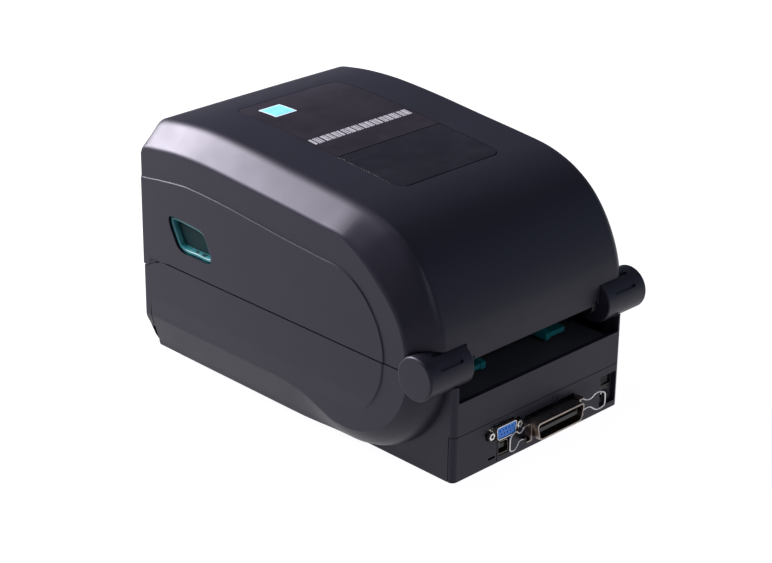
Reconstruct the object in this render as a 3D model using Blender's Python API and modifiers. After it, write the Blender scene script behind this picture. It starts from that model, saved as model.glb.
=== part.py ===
"""Desktop thermal-transfer label printer, modelled as an assembly of separate pieces.

Run with: blender --background --python part.py
Frame: +Z up, +X to the user's right, the label leaves at the front, which faces -Y.
The origin is under the middle of the bounding box, on the surface the feet rest on.
All dimensions below are in millimetres; the helpers turn them into metres.
"""

import bpy
import bmesh
from math import cos, sin, pi, radians, atan2
from mathutils import Matrix, Vector

MM = 0.001
GAP = 0.3                     # clearance between neighbouring pieces

# ---- driving dimensions -------------------------------------------------------------
HALF_WIDTH = 97.0             # outer face of the side cheeks
CREST_HALF = 81.0             # where the side chamfer meets the roof
FRONT_Y = -138.5              # front face
SPLIT_Z = 75.3                # parting line between cover and base
WALL = 3.0                    # housing wall

HINGE_Y, HINGE_Z = 115.0, 75.2
KNUCKLE_R = 14.2
KNUCKLE_IN, KNUCKLE_OUT = 62.0, 99.0
PIN_R = 3.0

CHEEK_Y, CHEEK_Z = 53.0, 74.0     # centre of the rear arc of the base cheeks
CREASE_Z = 32.5                   # height at which the sides start to slope inwards
BEZEL_Y = -132.0                  # seam between front bezel and housing

REAR_HALF = 77.4              # half width of the connector box at the rear
REAR_Y = 128.0
REAR_BOTTOM = 2.0
POST_Z = 66.0
LIP_Z = 54.8                  # lower edge of the fan-fold slot
PANEL_Z = 32.2                # top of the connector panel

ROLL_Y, ROLL_Z, ROLL_R = 30.0, 82.0, 66.0     # media well, for a 127 mm roll
FACE_REST = 28.0              # inner faces of the roll holders, closed
HOLDER_TRAVEL = 27.0

PLATEN_Y, PLATEN_Z, PLATEN_R = -118.0, 60.0, 8.0
GEAR_MODULE = 0.8
PLATEN_TEETH, IDLER_TEETH, PINION_TEETH = 30, 36, 12
IDLER_Y, IDLER_Z = -101.4, 39.3
PINION_Y, PINION_Z = -82.7, 34.1
GEAR_X = -75.5                # mid-plane of the gear train
GEAR_WIDTH = 5.0
FRAME_X, FRAME_THICK = 67.5, 2.5

SUPPLY_Y, SUPPLY_Z = -56.0, 118.0
TAKEUP_Y, TAKEUP_Z = -103.0, 128.0
ARM_X, ARM_THICK = 60.0, 2.8      # inner face and thickness of the carriage sides
HEAD_AXIS_Y, HEAD_AXIS_Z = -92.0, 84.0

LATCH_Y, LATCH_Z = -88.0, 128.0   # pivot of a latch
LATCH_X = 93.6                    # outer face of a latch pull

BUTTON_X, BUTTON_Z, BUTTON_R = 34.0, 138.0, 7.0
LENS_X = 16.0

PANEL_HALF = 45.1
PANEL_FRONT, PANEL_JOINT, PANEL_REAR = -105.0, -6.8, 48.3

SERIAL_X, SERIAL_Z = 33.2, 23.8
JACKSCREW_PITCH = 25.0
PARALLEL_X, PARALLEL_Z = -9.3, 17.0
PARALLEL_HALF_W, PARALLEL_HALF_H = 22.5, 6.3
BAIL_OUT = 25.4               # bail pivot, measured from the middle of the connector
BAIL_Y = 131.6
USB_X, USB_Z = 32.0, 11.4
POWER_X0, POWER_X1, POWER_Z0, POWER_Z1 = -74.0, -58.6, 6.0, 27.2
JACK_X, JACK_Z = -66.3, 11.4
SWITCH_X, SWITCH_Z = -66.3, 21.8

# Roof line of the cover (y, z), front to rear, where the roof meets the chamfer, and
# the matching points where the chamfer meets the side faces.
ROOF = [(-138.5, 150), (-137.3, 160), (-133, 165.6), (-124, 168.3), (-105, 170.9),
        (-80, 171.8), (-45, 170.1), (-5, 166.6), (35, 163.2), (54, 161), (67.3, 157.8),
        (80, 152.7), (93.2, 144.1), (104, 132.4), (113, 117), (119, 101), (121, 88),
        (121.4, 76)]
SHOULDER = [(-134, 146), (-133.5, 149.5), (-130, 151.3), (-122, 152.8), (-104, 154.9),
            (-80, 155.5), (-47, 153.6), (-5, 150.7), (30, 147.9), (50, 146.4),
            (59, 142.4), (68, 137), (80, 127.5), (92.3, 115.3), (101, 102.5),
            (105, 91), (106.3, 83), (106.8, 76)]
CROWN = 0.8                   # rise of the roof between the chamfers
# Front of the parting line (y, z): it dips towards the label exit.
SPLIT_FRONT = [(-138.5, 67.4), (-132, 68.3), (-126, 71.2), (-120, 73.7), (-112, 75.3)]
EXIT_HALF = 57.0              # label exit slot
EXIT_Z0, EXIT_Z1 = 63.2, 72.0


# ---- collections and materials --------------------------------------------------------
def clear_scene():
    for obj in list(bpy.data.objects):
        bpy.data.objects.remove(obj, do_unlink=True)


clear_scene()
PARTS = bpy.data.collections.new("label_printer")
CUTTERS = bpy.data.collections.new("cutters")
bpy.context.scene.collection.children.link(PARTS)
bpy.context.scene.collection.children.link(CUTTERS)


def material(name, color, roughness, metallic):
    mat = bpy.data.materials.new(name)
    mat.use_nodes = True
    shader = mat.node_tree.nodes["Principled BSDF"]
    shader.inputs["Base Color"].default_value = (*color, 1.0)
    shader.inputs["Roughness"].default_value = roughness
    shader.inputs["Metallic"].default_value = metallic
    return mat


COLORS = {
    "housing": ((0.022, 0.023, 0.032), 0.45, 0.0),
    "liner": ((0.045, 0.046, 0.055), 0.6, 0.0),
    "gloss": ((0.008, 0.008, 0.010), 0.12, 0.0),
    "window": ((0.010, 0.010, 0.014), 0.08, 0.0),
    "teal": ((0.010, 0.130, 0.135), 0.42, 0.0),
    "steel": ((0.560, 0.560, 0.570), 0.32, 1.0),
    "chrome": ((0.750, 0.750, 0.760), 0.15, 1.0),
    "aluminium": ((0.700, 0.700, 0.710), 0.40, 1.0),
    "rubber": ((0.020, 0.020, 0.021), 0.85, 0.0),
    "gear": ((0.650, 0.640, 0.600), 0.50, 0.0),
    "board": ((0.012, 0.090, 0.040), 0.55, 0.0),
    "socket": ((0.012, 0.012, 0.013), 0.55, 0.0),
    "blue": ((0.040, 0.180, 0.620), 0.45, 0.0),
    "ceramic": ((0.780, 0.760, 0.700), 0.35, 0.0),
    "lens": ((0.250, 0.700, 0.300), 0.25, 0.0),
}


def finish(obj, look, smooth=True):
    """Give a piece its own material and shade its round faces smooth."""
    color, roughness, metallic = COLORS[look]
    obj.data.materials.clear()
    obj.data.materials.append(material(obj.name, color, roughness, metallic))
    if smooth:
        obj.data.shade_smooth()
        obj.data.set_sharp_from_angle(angle=radians(35))
    return obj


# ---- shape helpers ----------------------------------------------------------------------
def link(obj, cutter=False):
    for collection in list(obj.users_collection):
        collection.objects.unlink(obj)
    (CUTTERS if cutter else PARTS).objects.link(obj)
    if cutter:
        obj.hide_render = True
        obj.display_type = "WIRE"
    return obj


def box(name, low, high, cutter=False, bevel=0.0, edges=None):
    """Box between two corners. edges names an axis to bevel only the edges along it."""
    size = Vector(high) - Vector(low)
    mesh = bpy.data.meshes.new(name)
    bm = bmesh.new()
    bmesh.ops.create_cube(bm, size=1.0)
    bmesh.ops.scale(bm, vec=size * MM, verts=bm.verts)
    if bevel:
        chosen = [e for e in bm.edges if edges is None or along(e, edges)]
        bmesh.ops.bevel(bm, geom=chosen, offset=bevel * MM, segments=3, profile=0.5,
                        affect="EDGES")
    bm.to_mesh(mesh)
    bm.free()
    obj = bpy.data.objects.new(name, mesh)
    obj.location = (Vector(low) + Vector(high)) / 2 * MM
    return link(obj, cutter)


def along(edge, axis):
    way = edge.verts[1].co - edge.verts[0].co
    return abs(way["XYZ".index(axis)]) > 0.99 * way.length


def turn_to(axis):
    """Rotation that takes local Z to the named world axis."""
    return {"X": (0, pi / 2, 0), "Y": (-pi / 2, 0, 0), "Z": (0, 0, 0)}[axis]


def turned(name, profile, axis, centre, steps=24, cutter=False):
    """Solid of revolution. profile runs (radius, height), down its outer side."""
    mesh = bpy.data.meshes.new(name)
    verts = [(r * MM, 0, h * MM) for r, h in profile]
    closed = profile[0][0] > 0
    count = len(verts)
    edges = [(i, (i + 1) % count) for i in range(count if closed else count - 1)]
    mesh.from_pydata(verts, edges, [])
    obj = bpy.data.objects.new(name, mesh)
    screw = obj.modifiers.new("turn", "SCREW")
    screw.axis = "Z"
    screw.steps = steps
    screw.render_steps = steps
    screw.use_merge_vertices = True
    screw.merge_threshold = 0.00001
    obj.location = Vector(centre) * MM
    obj.rotation_euler = turn_to(axis)
    return link(obj, cutter)


def rod(name, radius, length, axis, centre, steps=24, cutter=False, chamfer=0.0):
    """Plain or chamfered cylinder, centred."""
    half = length / 2
    rim = radius - chamfer
    profile = [(0, half), (rim, half), (radius, half - chamfer),
               (radius, chamfer - half), (rim, -half), (0, -half)]
    if not chamfer:
        profile = [(0, half), (radius, half), (radius, -half), (0, -half)]
    return turned(name, profile, axis, centre, steps, cutter)


def ring(name, inner, outer, length, axis, centre, steps=24):
    half = length / 2
    profile = [(outer, half), (outer, -half), (inner, -half), (inner, half)]
    return turned(name, profile, axis, centre, steps)


def outline(name, loops, thickness, centre=(0, 0, 0), plane="YZ", cutter=False):
    """Flat outline with holes, given in a world plane, extruded along its normal."""
    curve = bpy.data.curves.new(name, "CURVE")
    curve.dimensions = "2D"
    curve.fill_mode = "BOTH"
    curve.extrude = thickness / 2 * MM
    for loop in loops:
        spline = curve.splines.new("POLY")
        spline.points.add(len(loop) - 1)
        for point, (a, b) in zip(spline.points, loop):
            point.co = (a * MM, b * MM, 0, 1)
        spline.use_cyclic_u = True
    draft = bpy.data.objects.new(name + "_draft", curve)
    CUTTERS.objects.link(draft)
    frames = {"YZ": Matrix(((0, 0, 1), (1, 0, 0), (0, 1, 0))),
              "XZ": Matrix(((1, 0, 0), (0, 0, -1), (0, 1, 0))),
              "XY": Matrix.Identity(3)}
    obj = baked(draft, name)
    obj.data.transform(frames[plane].to_4x4())
    obj.location = Vector(centre) * MM
    return link(obj, cutter)


def baked(draft, name):
    """Mesh object of a curve, with its caps welded on; the curve is removed."""
    graph = bpy.context.evaluated_depsgraph_get()
    mesh = bpy.data.meshes.new_from_object(draft.evaluated_get(graph))
    bm = bmesh.new()
    bm.from_mesh(mesh)
    bmesh.ops.remove_doubles(bm, verts=bm.verts, dist=0.000001)
    bmesh.ops.recalc_face_normals(bm, faces=bm.faces)
    bm.to_mesh(mesh)
    bm.free()
    mesh.name = name
    obj = bpy.data.objects.new(name, mesh)
    bpy.data.objects.remove(draft, do_unlink=True)
    bpy.context.scene.collection.objects.link(obj)
    return obj


def wire(name, points, radius, resolution=2):
    """Round wire through points, closed by flat caps."""
    curve = bpy.data.curves.new(name, "CURVE")
    curve.dimensions = "3D"
    curve.bevel_depth = radius * MM
    curve.bevel_resolution = resolution
    curve.use_fill_caps = True
    spline = curve.splines.new("POLY")
    spline.points.add(len(points) - 1)
    for point, place in zip(spline.points, points):
        point.co = (*(Vector(place) * MM), 1)
    draft = bpy.data.objects.new(name + "_draft", curve)
    CUTTERS.objects.link(draft)
    return link(baked(draft, name))


def loft(name, sections, cutter=False):
    """Closed solid through outlines (x, [(y, z), ...]) that share a point count."""
    mesh = bpy.data.meshes.new(name)
    bm = bmesh.new()
    rows = []
    for x, points in sections:
        rows.append([bm.verts.new((x * MM, y * MM, z * MM)) for y, z in points])
    for row, after in zip(rows, rows[1:]):
        for i in range(len(row)):
            k = (i + 1) % len(row)
            bm.faces.new((row[i], row[k], after[k], after[i]))
    bm.faces.new(rows[0])
    bm.faces.new(rows[-1])
    bmesh.ops.recalc_face_normals(bm, faces=bm.faces)
    bm.to_mesh(mesh)
    bm.free()
    obj = bpy.data.objects.new(name, mesh)
    return link(obj, cutter)


def boolean(obj, other, operation):
    mod = obj.modifiers.new(operation.lower() + "_" + other.name, "BOOLEAN")
    mod.operation = operation
    mod.solver = "EXACT"
    mod.object = other
    return obj


def cut(obj, *cutters):
    for cutter in cutters:
        boolean(obj, cutter, "DIFFERENCE")
    return obj


def join(obj, *others):
    for other in others:
        link(other, cutter=True)
        boolean(obj, other, "UNION")
    return obj


def circle(y, z, radius, count, start=0.0):
    """Points of a circle, as (y, z)."""
    turns = [start + 2 * pi * i / count for i in range(count)]
    return [(y + radius * cos(t), z + radius * sin(t)) for t in turns]


def arc(y, z, radius, start, end, count, radius_z=None):
    """Points of an arc between two angles in degrees, ends included."""
    tall = radius if radius_z is None else radius_z
    turns = [radians(start + (end - start) * i / (count - 1)) for i in range(count)]
    return [(y + radius * cos(t), z + tall * sin(t)) for t in turns]


def joint(name, *place):
    """Empty on a joint axis; the pieces that move with it are its children."""
    empty = bpy.data.objects.new(name, None)
    empty.location = Vector(place) * MM
    empty.empty_display_size = 0.01
    PARTS.objects.link(empty)
    return empty


def carry(empty, *pieces):
    """Parent pieces to a joint without moving them."""
    for piece in pieces:
        piece.parent = empty
        piece.matrix_parent_inverse = Matrix.Translation(-empty.location)
    return pieces


def sided(side):
    """Name ending and sign of a side: the user's left is -X."""
    return ("left", -1) if side < 0 else ("right", 1)


# ---- base housing ---------------------------------------------------------------------
def base_outline(half_section, inset=0.0, top_extra=0.0):
    """Closed (y, z) outline of the base at the roof crest, the foot or the cheek face."""
    front, front_low, bottom, radius, tall, start = {
        "crest": (FRONT_Y, FRONT_Y + 3.5, 6.0, 68.0, 68.0, -90.0),
        "foot": (FRONT_Y, FRONT_Y + 3.5, 8.0, 61.0, 66.0, -90.0),
        "face": (FRONT_Y + 4.5, FRONT_Y + 5.5, CREASE_Z, 54.0, 54.0, -50.2),
    }[half_section]
    lower = CREASE_Z if half_section != "face" else CREASE_Z + 0.5
    rear = arc(CHEEK_Y, CHEEK_Z, radius - inset, start, 0, 9, tall - inset)
    top = [(y, z - GAP + top_extra) for y, z in reversed(SPLIT_FRONT[1:-1])]
    top = [(SPLIT_FRONT[-1][0], SPLIT_Z + top_extra)] + top
    head = [(front + inset, SPLIT_FRONT[0][1] - GAP + top_extra), (front + inset, lower),
            (front_low + inset, bottom + inset)]
    rear_top = (CHEEK_Y + radius - inset, SPLIT_Z + top_extra)
    return head + rear + [rear_top] + top


def base_loft(name, inset=0.0, top_extra=0.0, cutter=False):
    """Outer form of the base, or of its hollow when inset."""
    stations = [(HALF_WIDTH - inset, "face"), (90.0 - inset * 0.6, "foot"),
                (CREST_HALF - 1.0, "crest")]
    half = [(x, base_outline(kind, inset, top_extra)) for x, kind in stations]
    whole = [(-x, points) for x, points in half] + list(reversed(half))
    return loft(name, whole, cutter)


def rear_box(name, low_y, cutter=False):
    return box(name, (-REAR_HALF, low_y, REAR_BOTTOM), (REAR_HALF, REAR_Y, POST_Z),
               cutter, bevel=3.0, edges="Z")


def hinge_clearance(name):
    """Two cylinders around the hinge knuckles, one for each side."""
    middle = (KNUCKLE_IN + KNUCKLE_OUT) / 2
    length = KNUCKLE_OUT - KNUCKLE_IN + 2
    return [rod(name + side, KNUCKLE_R + 0.4, length, "X",
                (sign * middle, HINGE_Y, HINGE_Z), 32, True)
            for side, sign in (("_left", -1), ("_right", 1))]


def base_housing():
    """Walls of the base: both cheeks and the upper half of the rear connector box."""
    shell = base_loft("base_housing")
    join(shell, rear_box("rear_box_form", 40.0))
    hollow = base_loft("base_hollow", WALL, 8.0, True)
    inside = box("rear_hollow", (-REAR_HALF + WALL, 20, -5),
                 (REAR_HALF - WALL, REAR_Y - WALL, 90), True)
    bottom = box("bottom_opening", (-REAR_HALF + WALL, -126, -5),
                 (REAR_HALF - WALL, 60, 20), True)
    front = box("front_cut", (-120, -160, -10), (120, BEZEL_Y + GAP, 90), True)
    slot = box("fanfold_cut", (-73.7, 100, LIP_Z), (73.7, 140, 90), True)
    panel = box("panel_cut", (-90, 123.6, -10), (90, 140, PANEL_Z + GAP), True)
    cut(shell, hollow, inside, bottom, front, slot, panel)
    cut(shell, *hinge_clearance("knuckle_seat"))
    return finish(shell, "housing")


def front_bezel():
    """Front of the base, with the lower edge of the label exit."""
    bezel = base_loft("front_bezel")
    hollow = base_loft("bezel_hollow", WALL, 8.0, True)
    behind = box("bezel_behind", (-120, BEZEL_Y, -10), (120, 200, 120), True)
    exit_cut = box("exit_cut", (-EXIT_HALF, -150, EXIT_Z0 - 1.2), (EXIT_HALF, -120, 90),
                   True)
    cut(bezel, hollow, behind, exit_cut)
    return finish(bezel, "housing")


def bottom_parts():
    """Bottom tray with vent slots, and four rubber feet under it."""
    tray = box("bottom_tray", (-74.0, -126.0, 2.3), (74.0, 123.0, 4.8))
    for i in range(6):
        x = -45 + 18 * i
        cut(tray, box("vent_%d" % i, (x - 2, -40, 0), (x + 2, 20, 8), True))
    finish(tray, "housing", smooth=False)
    for x in (-1, 1):
        for y, end in ((-104, "front"), (104, "rear")):
            side = sided(x)[0]
            foot = rod("foot_%s_%s" % (end, side), 8.0, 2.0, "Z", (62 * x, y, 1.0), 20,
                       chamfer=0.5)
            finish(foot, "rubber")


def tear_bar():
    """Serrated metal edge under the label exit."""
    teeth = 38
    width = EXIT_HALF - 1
    step = 2 * width / teeth
    edge = [(-width + step * (i + 0.5 * k), -137.6 + 0.9 * k)
            for i in range(teeth) for k in (0, 1)]
    loop = edge + [(width, -137.6), (width, -131), (-width, -131)]
    bar = outline("tear_bar", [loop], 0.9, (0, 0, EXIT_Z0 - 0.4), "XY")
    return finish(bar, "steel", smooth=False)


# ---- rear panel and connectors ----------------------------------------------------------
def rear_panel():
    """Lower rear panel, wrapped round both corners, with the connector openings."""
    panel = box("rear_panel", (-80, 124.0, -1), (80, 130, PANEL_Z))
    boolean(panel, rear_box("panel_plan", 40.0, True), "INTERSECT")
    serial_half = 7.0
    cut(panel,
        box("serial_cut", (SERIAL_X - 16.2, 120, SERIAL_Z - serial_half),
            (SERIAL_X + 16.2, 131, SERIAL_Z + serial_half), True),
        box("parallel_cut", (PARALLEL_X - 24.5, 120, PARALLEL_Z - 6.7),
            (PARALLEL_X + 23.2, 131, PARALLEL_Z + 8.6), True),
        box("usb_cut", (USB_X - 6.4, 120, USB_Z - 6.1), (USB_X + 6.4, 131, USB_Z + 5.1), True),
        box("lock_cut", (39.8, 120, 6.2), (46.2, 131, 8.2), True),
        box("power_cut", (POWER_X0, 120, POWER_Z0), (POWER_X1, 131, POWER_Z1), True))
    return finish(panel, "housing", smooth=False)


def serial_port():
    """Nine-way D connector: plated shell, blue insert and two hexagonal posts."""
    x, z = SERIAL_X, SERIAL_Z
    shell = box("serial_shell", (x - 15.9, 121, z - 6.2), (x + 15.9, 127.2, z + 6.2))
    nose = outline("serial_nose",
                   [[(x - 9.4, z + 4.6), (x + 9.4, z + 4.6), (x + 8.2, z - 4.6),
                     (x - 8.2, z - 4.6)]], 6.2, (0, 128.1, 0), "XZ")
    join(shell, nose)
    hollow = outline("serial_hollow",
                     [[(x - 8.7, z + 3.9), (x + 8.7, z + 3.9), (x + 7.6, z - 3.9),
                       (x - 7.6, z - 3.9)]], 12, (0, 130, 0), "XZ", cutter=True)
    cut(shell, hollow)
    for side in (-1, 1):
        place = (x + side * JACKSCREW_PITCH / 2, 127.5, z)
        join(shell, turned("serial_post_form_%d" % side,
                           [(2.7, 3.3), (2.7, -0.8), (1.1, -0.8), (1.1, 3.3)], "Y", place, 6))
    finish(shell, "chrome")
    insert = outline("serial_insert",
                     [[(x - 8.4, z + 3.6), (x + 8.4, z + 3.6), (x + 7.3, z - 3.6),
                       (x - 7.3, z - 3.6)]], 6.0, (0, 127.5, 0), "XZ")
    finish(insert, "blue", smooth=False)


def rounded_rect(x, z, half_w, half_h, corner, count=4):
    """Rounded rectangle as (x, z) points."""
    points = []
    for sx, sz, start in ((1, 1, 0), (-1, 1, 90), (-1, -1, 180), (1, -1, 270)):
        cx = x + sx * (half_w - corner)
        cz = z + sz * (half_h - corner)
        points += arc(cx, cz, corner, start, start + 90, count)
    return points


def parallel_port():
    """Ribbon-type parallel connector: rimmed shell, insert with two contact rows."""
    x, z, w, h = PARALLEL_X, PARALLEL_Z, PARALLEL_HALF_W, PARALLEL_HALF_H
    rim = rounded_rect(x, z, w, h, 3.5)
    shell = outline("parallel_shell",
                    [rim, rounded_rect(x, z, w - 1.1, h - 1.1, 2.6)], 15.0,
                    (0, -FRONT_Y - 7.5, 0), "XZ")
    finish(shell, "chrome")
    insert = box("parallel_insert", (x - w + 2.2, 123.8, z - h + 1.9),
                 (x + w - 2.2, 128.5, z + h - 1.9))
    tongue = box("parallel_tongue", (x - w + 5, 128, z - 1.7), (x + w - 5, 135.2, z + 1.7))
    join(insert, tongue)
    finish(insert, "socket", smooth=False)
    bail_loop = [(0.0, 4.4), (2.5, 4.2), (5.0, 3.0), (9.0, 3.0), (13.5, 6.2), (18.5, 5.2),
                 (19.6, 3.4)]
    loop = bail_loop + [(u, -w2) for u, w2 in reversed(bail_loop)]
    for side in (-1, 1):
        name, sign = sided(side)
        pivot = x + sign * BAIL_OUT
        near, far = sorted((x + sign * (w - 0.5), pivot + sign * 1.4))
        bracket = box("bail_bracket_form_" + name, (near, REAR_Y + GAP, z - 6.4),
                      (far, 134.0, z + 6.4))
        wide = sorted((pivot - sign * 1.6, pivot + sign * 5))
        cut(bracket, box("bracket_cut_" + name, (wide[0], 126, z - 5.4),
                         (wide[1], 140, z + 5.4), True))
        join(shell, bracket)
        lean = radians(13)
        points = [(pivot + sign * u * cos(lean), BAIL_Y + u * sin(lean), z + up)
                  for u, up in loop]
        bail = finish(wire("bail_" + name, points, 0.65), "chrome")
        carry(joint("bail_axis_" + name, pivot, BAIL_Y, z), bail)


def usb_port():
    x, z = USB_X, USB_Z
    port = box("usb_port", (x - 6.0, 112, z - 5.8), (x + 6.0, 126.6, z + 4.6))
    mouth = [(x - 4.2, z - 4.4), (x + 4.2, z - 4.4), (x + 4.2, z + 2.2), (x + 2.9, z + 3.6),
             (x - 2.9, z + 3.6), (x - 4.2, z + 2.2)]
    cut(port, outline("usb_mouth", [mouth], 20, (0, 126, 0), "XZ", cutter=True))
    tongue = box("usb_tongue", (x - 2.8, 115, z - 1.8), (x + 2.8, 125.4, z + 1.4))
    join(port, tongue)
    return finish(port, "steel", smooth=False)


def power_parts():
    """Recessed DC inlet and a rocker switch above it."""
    inlet = box("dc_inlet", (POWER_X0 + GAP, 110, POWER_Z0 + GAP),
                (POWER_X1 - GAP, 124.5, JACK_Z + 5.2))
    cut(inlet, rod("inlet_bore", 3.6, 20, "Y", (JACK_X, 126, JACK_Z), 20, True))
    pin = rod("inlet_pin", 1.1, 9, "Y", (JACK_X, 119.4, JACK_Z), 12)
    join(inlet, pin)
    finish(inlet, "socket")
    housing = box("switch_housing", (POWER_X0 + GAP, 110, SWITCH_Z - 4.9),
                  (POWER_X1 - GAP, 124.5, SWITCH_Z + 5.1))
    cut(housing, box("switch_hole", (SWITCH_X - 6.3, 114, SWITCH_Z - 3.6),
                     (SWITCH_X + 6.3, 130, SWITCH_Z + 3.6), True))
    finish(housing, "socket", smooth=False)
    rocker_line = [(SWITCH_X - 5.0, 124.9), (SWITCH_X - 5.0, 119.5), (SWITCH_X, 117.5),
                   (SWITCH_X + 5.0, 119.5), (SWITCH_X + 5.0, 126.3), (SWITCH_X, 123.9)]
    rocker = outline("power_rocker", [rocker_line], 6.4, (0, 0, SWITCH_Z), "XY")
    finish(rocker, "socket", smooth=False)
    carry(joint("power_rocker_axis", SWITCH_X, 121.0, SWITCH_Z), rocker)


def main_board():
    board = box("main_board", (-56, -10, 7.0), (56, 108, 8.6))
    finish(board, "board", smooth=False)


# ---- media path in the base ---------------------------------------------------------------
def media_well():
    """Trough for the roll, with a ramp to the rear slot and a shelf to the platen."""
    inner = arc(ROLL_Y, ROLL_Z, ROLL_R, 202, 334, 17)
    outer = arc(ROLL_Y, ROLL_Z, ROLL_R + 2.5, 334, 202, 17)
    loop = [(-107.0, 62.2), (-107.0, 60.0), (-104.0, 60.0), (-40.0, 56.0)]
    loop += list(reversed(outer)) + [(122.5, 50.0), (122.5, 53.0), (93.0, 54.0)]
    loop += list(reversed(inner)) + [(-36.0, 60.5)]
    well = outline("media_well", [loop], 2 * FRAME_X - 1.2)
    cut(well, box("guide_slot", (-61, -58, 50), (61, -52, 70), True))
    join(well, box("holder_rail_form", (-62, 24, 15.2), (62, 36, 18.0)))
    return finish(well, "liner")


def side_frames():
    """Two plates that carry the platen, the motor and the gears."""
    line = [(-126, 10), (-70, 7), (60, 7), (60, 40), (20, 62), (-60, 68), (-100, 72),
            (-118, 71), (-126, 66)]
    middle = FRAME_X + FRAME_THICK / 2
    for side in (-1, 1):
        name, sign = sided(side)
        holes = [circle(PLATEN_Y, PLATEN_Z, 5.3, 16)]
        if sign < 0:
            holes.append(circle(PINION_Y, PINION_Z, 4.0, 12))
        plate = outline("side_frame_" + name, [line] + holes, FRAME_THICK,
                        (sign * middle, 0, 0))
        catch = rod("latch_catch_form_" + name, 2.2, 20.0, "X",
                    (sign * (FRAME_X + 11.5), -84.5, 58.0), 12)
        join(plate, catch)
        if sign < 0:
            join(plate, rod("idler_axle_form", 2.0, 11.5, "X", (-74.2, IDLER_Y, IDLER_Z), 12))
        finish(plate, "steel", smooth=False)
        bearing = ring("platen_bearing_" + name, 3.1, 5.0, 5.0, "X",
                       (sign * middle, PLATEN_Y, PLATEN_Z), 16)
        finish(bearing, "gear")


def gear(name, teeth, y, z, phase, bore):
    """Spur gear with straight-sided teeth; phase is the angle of one tooth's middle."""
    pitch = GEAR_MODULE * teeth / 2
    tip, root = pitch + 0.75 * GEAR_MODULE, pitch - 1.1 * GEAR_MODULE
    step = 2 * pi / teeth
    loop = []
    for i in range(teeth):
        middle = phase + step * i
        for offset, radius in ((-0.32, root), (-0.13, tip), (0.13, tip), (0.32, root)):
            angle = middle + offset * step
            loop.append((radius * cos(angle), radius * sin(angle)))
    hole = circle(0, 0, bore, 12)
    wheel = outline(name, [loop, hole], GEAR_WIDTH, (GEAR_X, y, z))
    return finish(wheel, "gear", smooth=False)


def meshed(angle, phase, teeth, other_teeth):
    """Phase of a gear that meshes with another, seen from it at the given angle."""
    step = 2 * pi / teeth
    lead = ((angle - phase) / step) % 1.0
    other_step = 2 * pi / other_teeth
    return angle + pi + (lead - 0.5) * other_step


def gear_train():
    """Motor pinion, idler and platen gear, in mesh at rest."""
    to_idler = atan2(IDLER_Z - PLATEN_Z, IDLER_Y - PLATEN_Y)
    to_pinion = atan2(PINION_Z - IDLER_Z, PINION_Y - IDLER_Y)
    platen_phase = 0.0
    idler_phase = meshed(to_idler, platen_phase, PLATEN_TEETH, IDLER_TEETH)
    pinion_phase = meshed(to_pinion, idler_phase, IDLER_TEETH, PINION_TEETH)
    platen_gear = gear("platen_gear", PLATEN_TEETH, PLATEN_Y, PLATEN_Z, platen_phase, 3.3)
    idler = gear("idler_gear", IDLER_TEETH, IDLER_Y, IDLER_Z, idler_phase, 2.15)
    pinion = gear("motor_pinion", PINION_TEETH, PINION_Y, PINION_Z, pinion_phase, 1.2)
    join(pinion, rod("motor_shaft_form", 2.0, 13.6, "X", (-71.8, PINION_Y, PINION_Z), 12))
    motor = rod("feed_motor", 17.5, 20.0, "X", (-55.2, PINION_Y, PINION_Z), 28, chamfer=1.0)
    flange = box("motor_flange", (-66.9, PINION_Y - 8, PINION_Z - 21),
                 (-64.9, PINION_Y + 8, PINION_Z + 21))
    join(motor, flange)
    cut(motor, rod("motor_bore", 2.5, 6, "X", (-66.5, PINION_Y, PINION_Z), 12, True))
    finish(motor, "steel")
    roller = ring("platen_roller", 3.2, PLATEN_R, 112.0, "X", (0, PLATEN_Y, PLATEN_Z), 28)
    finish(roller, "rubber")
    rod_piece = rod("platen_shaft", 3.0, 154.0, "X", (-2.5, PLATEN_Y, PLATEN_Z), 16)
    finish(rod_piece, "steel")
    carry(joint("platen_axis", 0, PLATEN_Y, PLATEN_Z), roller, rod_piece, platen_gear)
    carry(joint("idler_axis", GEAR_X, IDLER_Y, IDLER_Z), idler)
    carry(joint("pinion_axis", GEAR_X, PINION_Y, PINION_Z), pinion)


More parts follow.
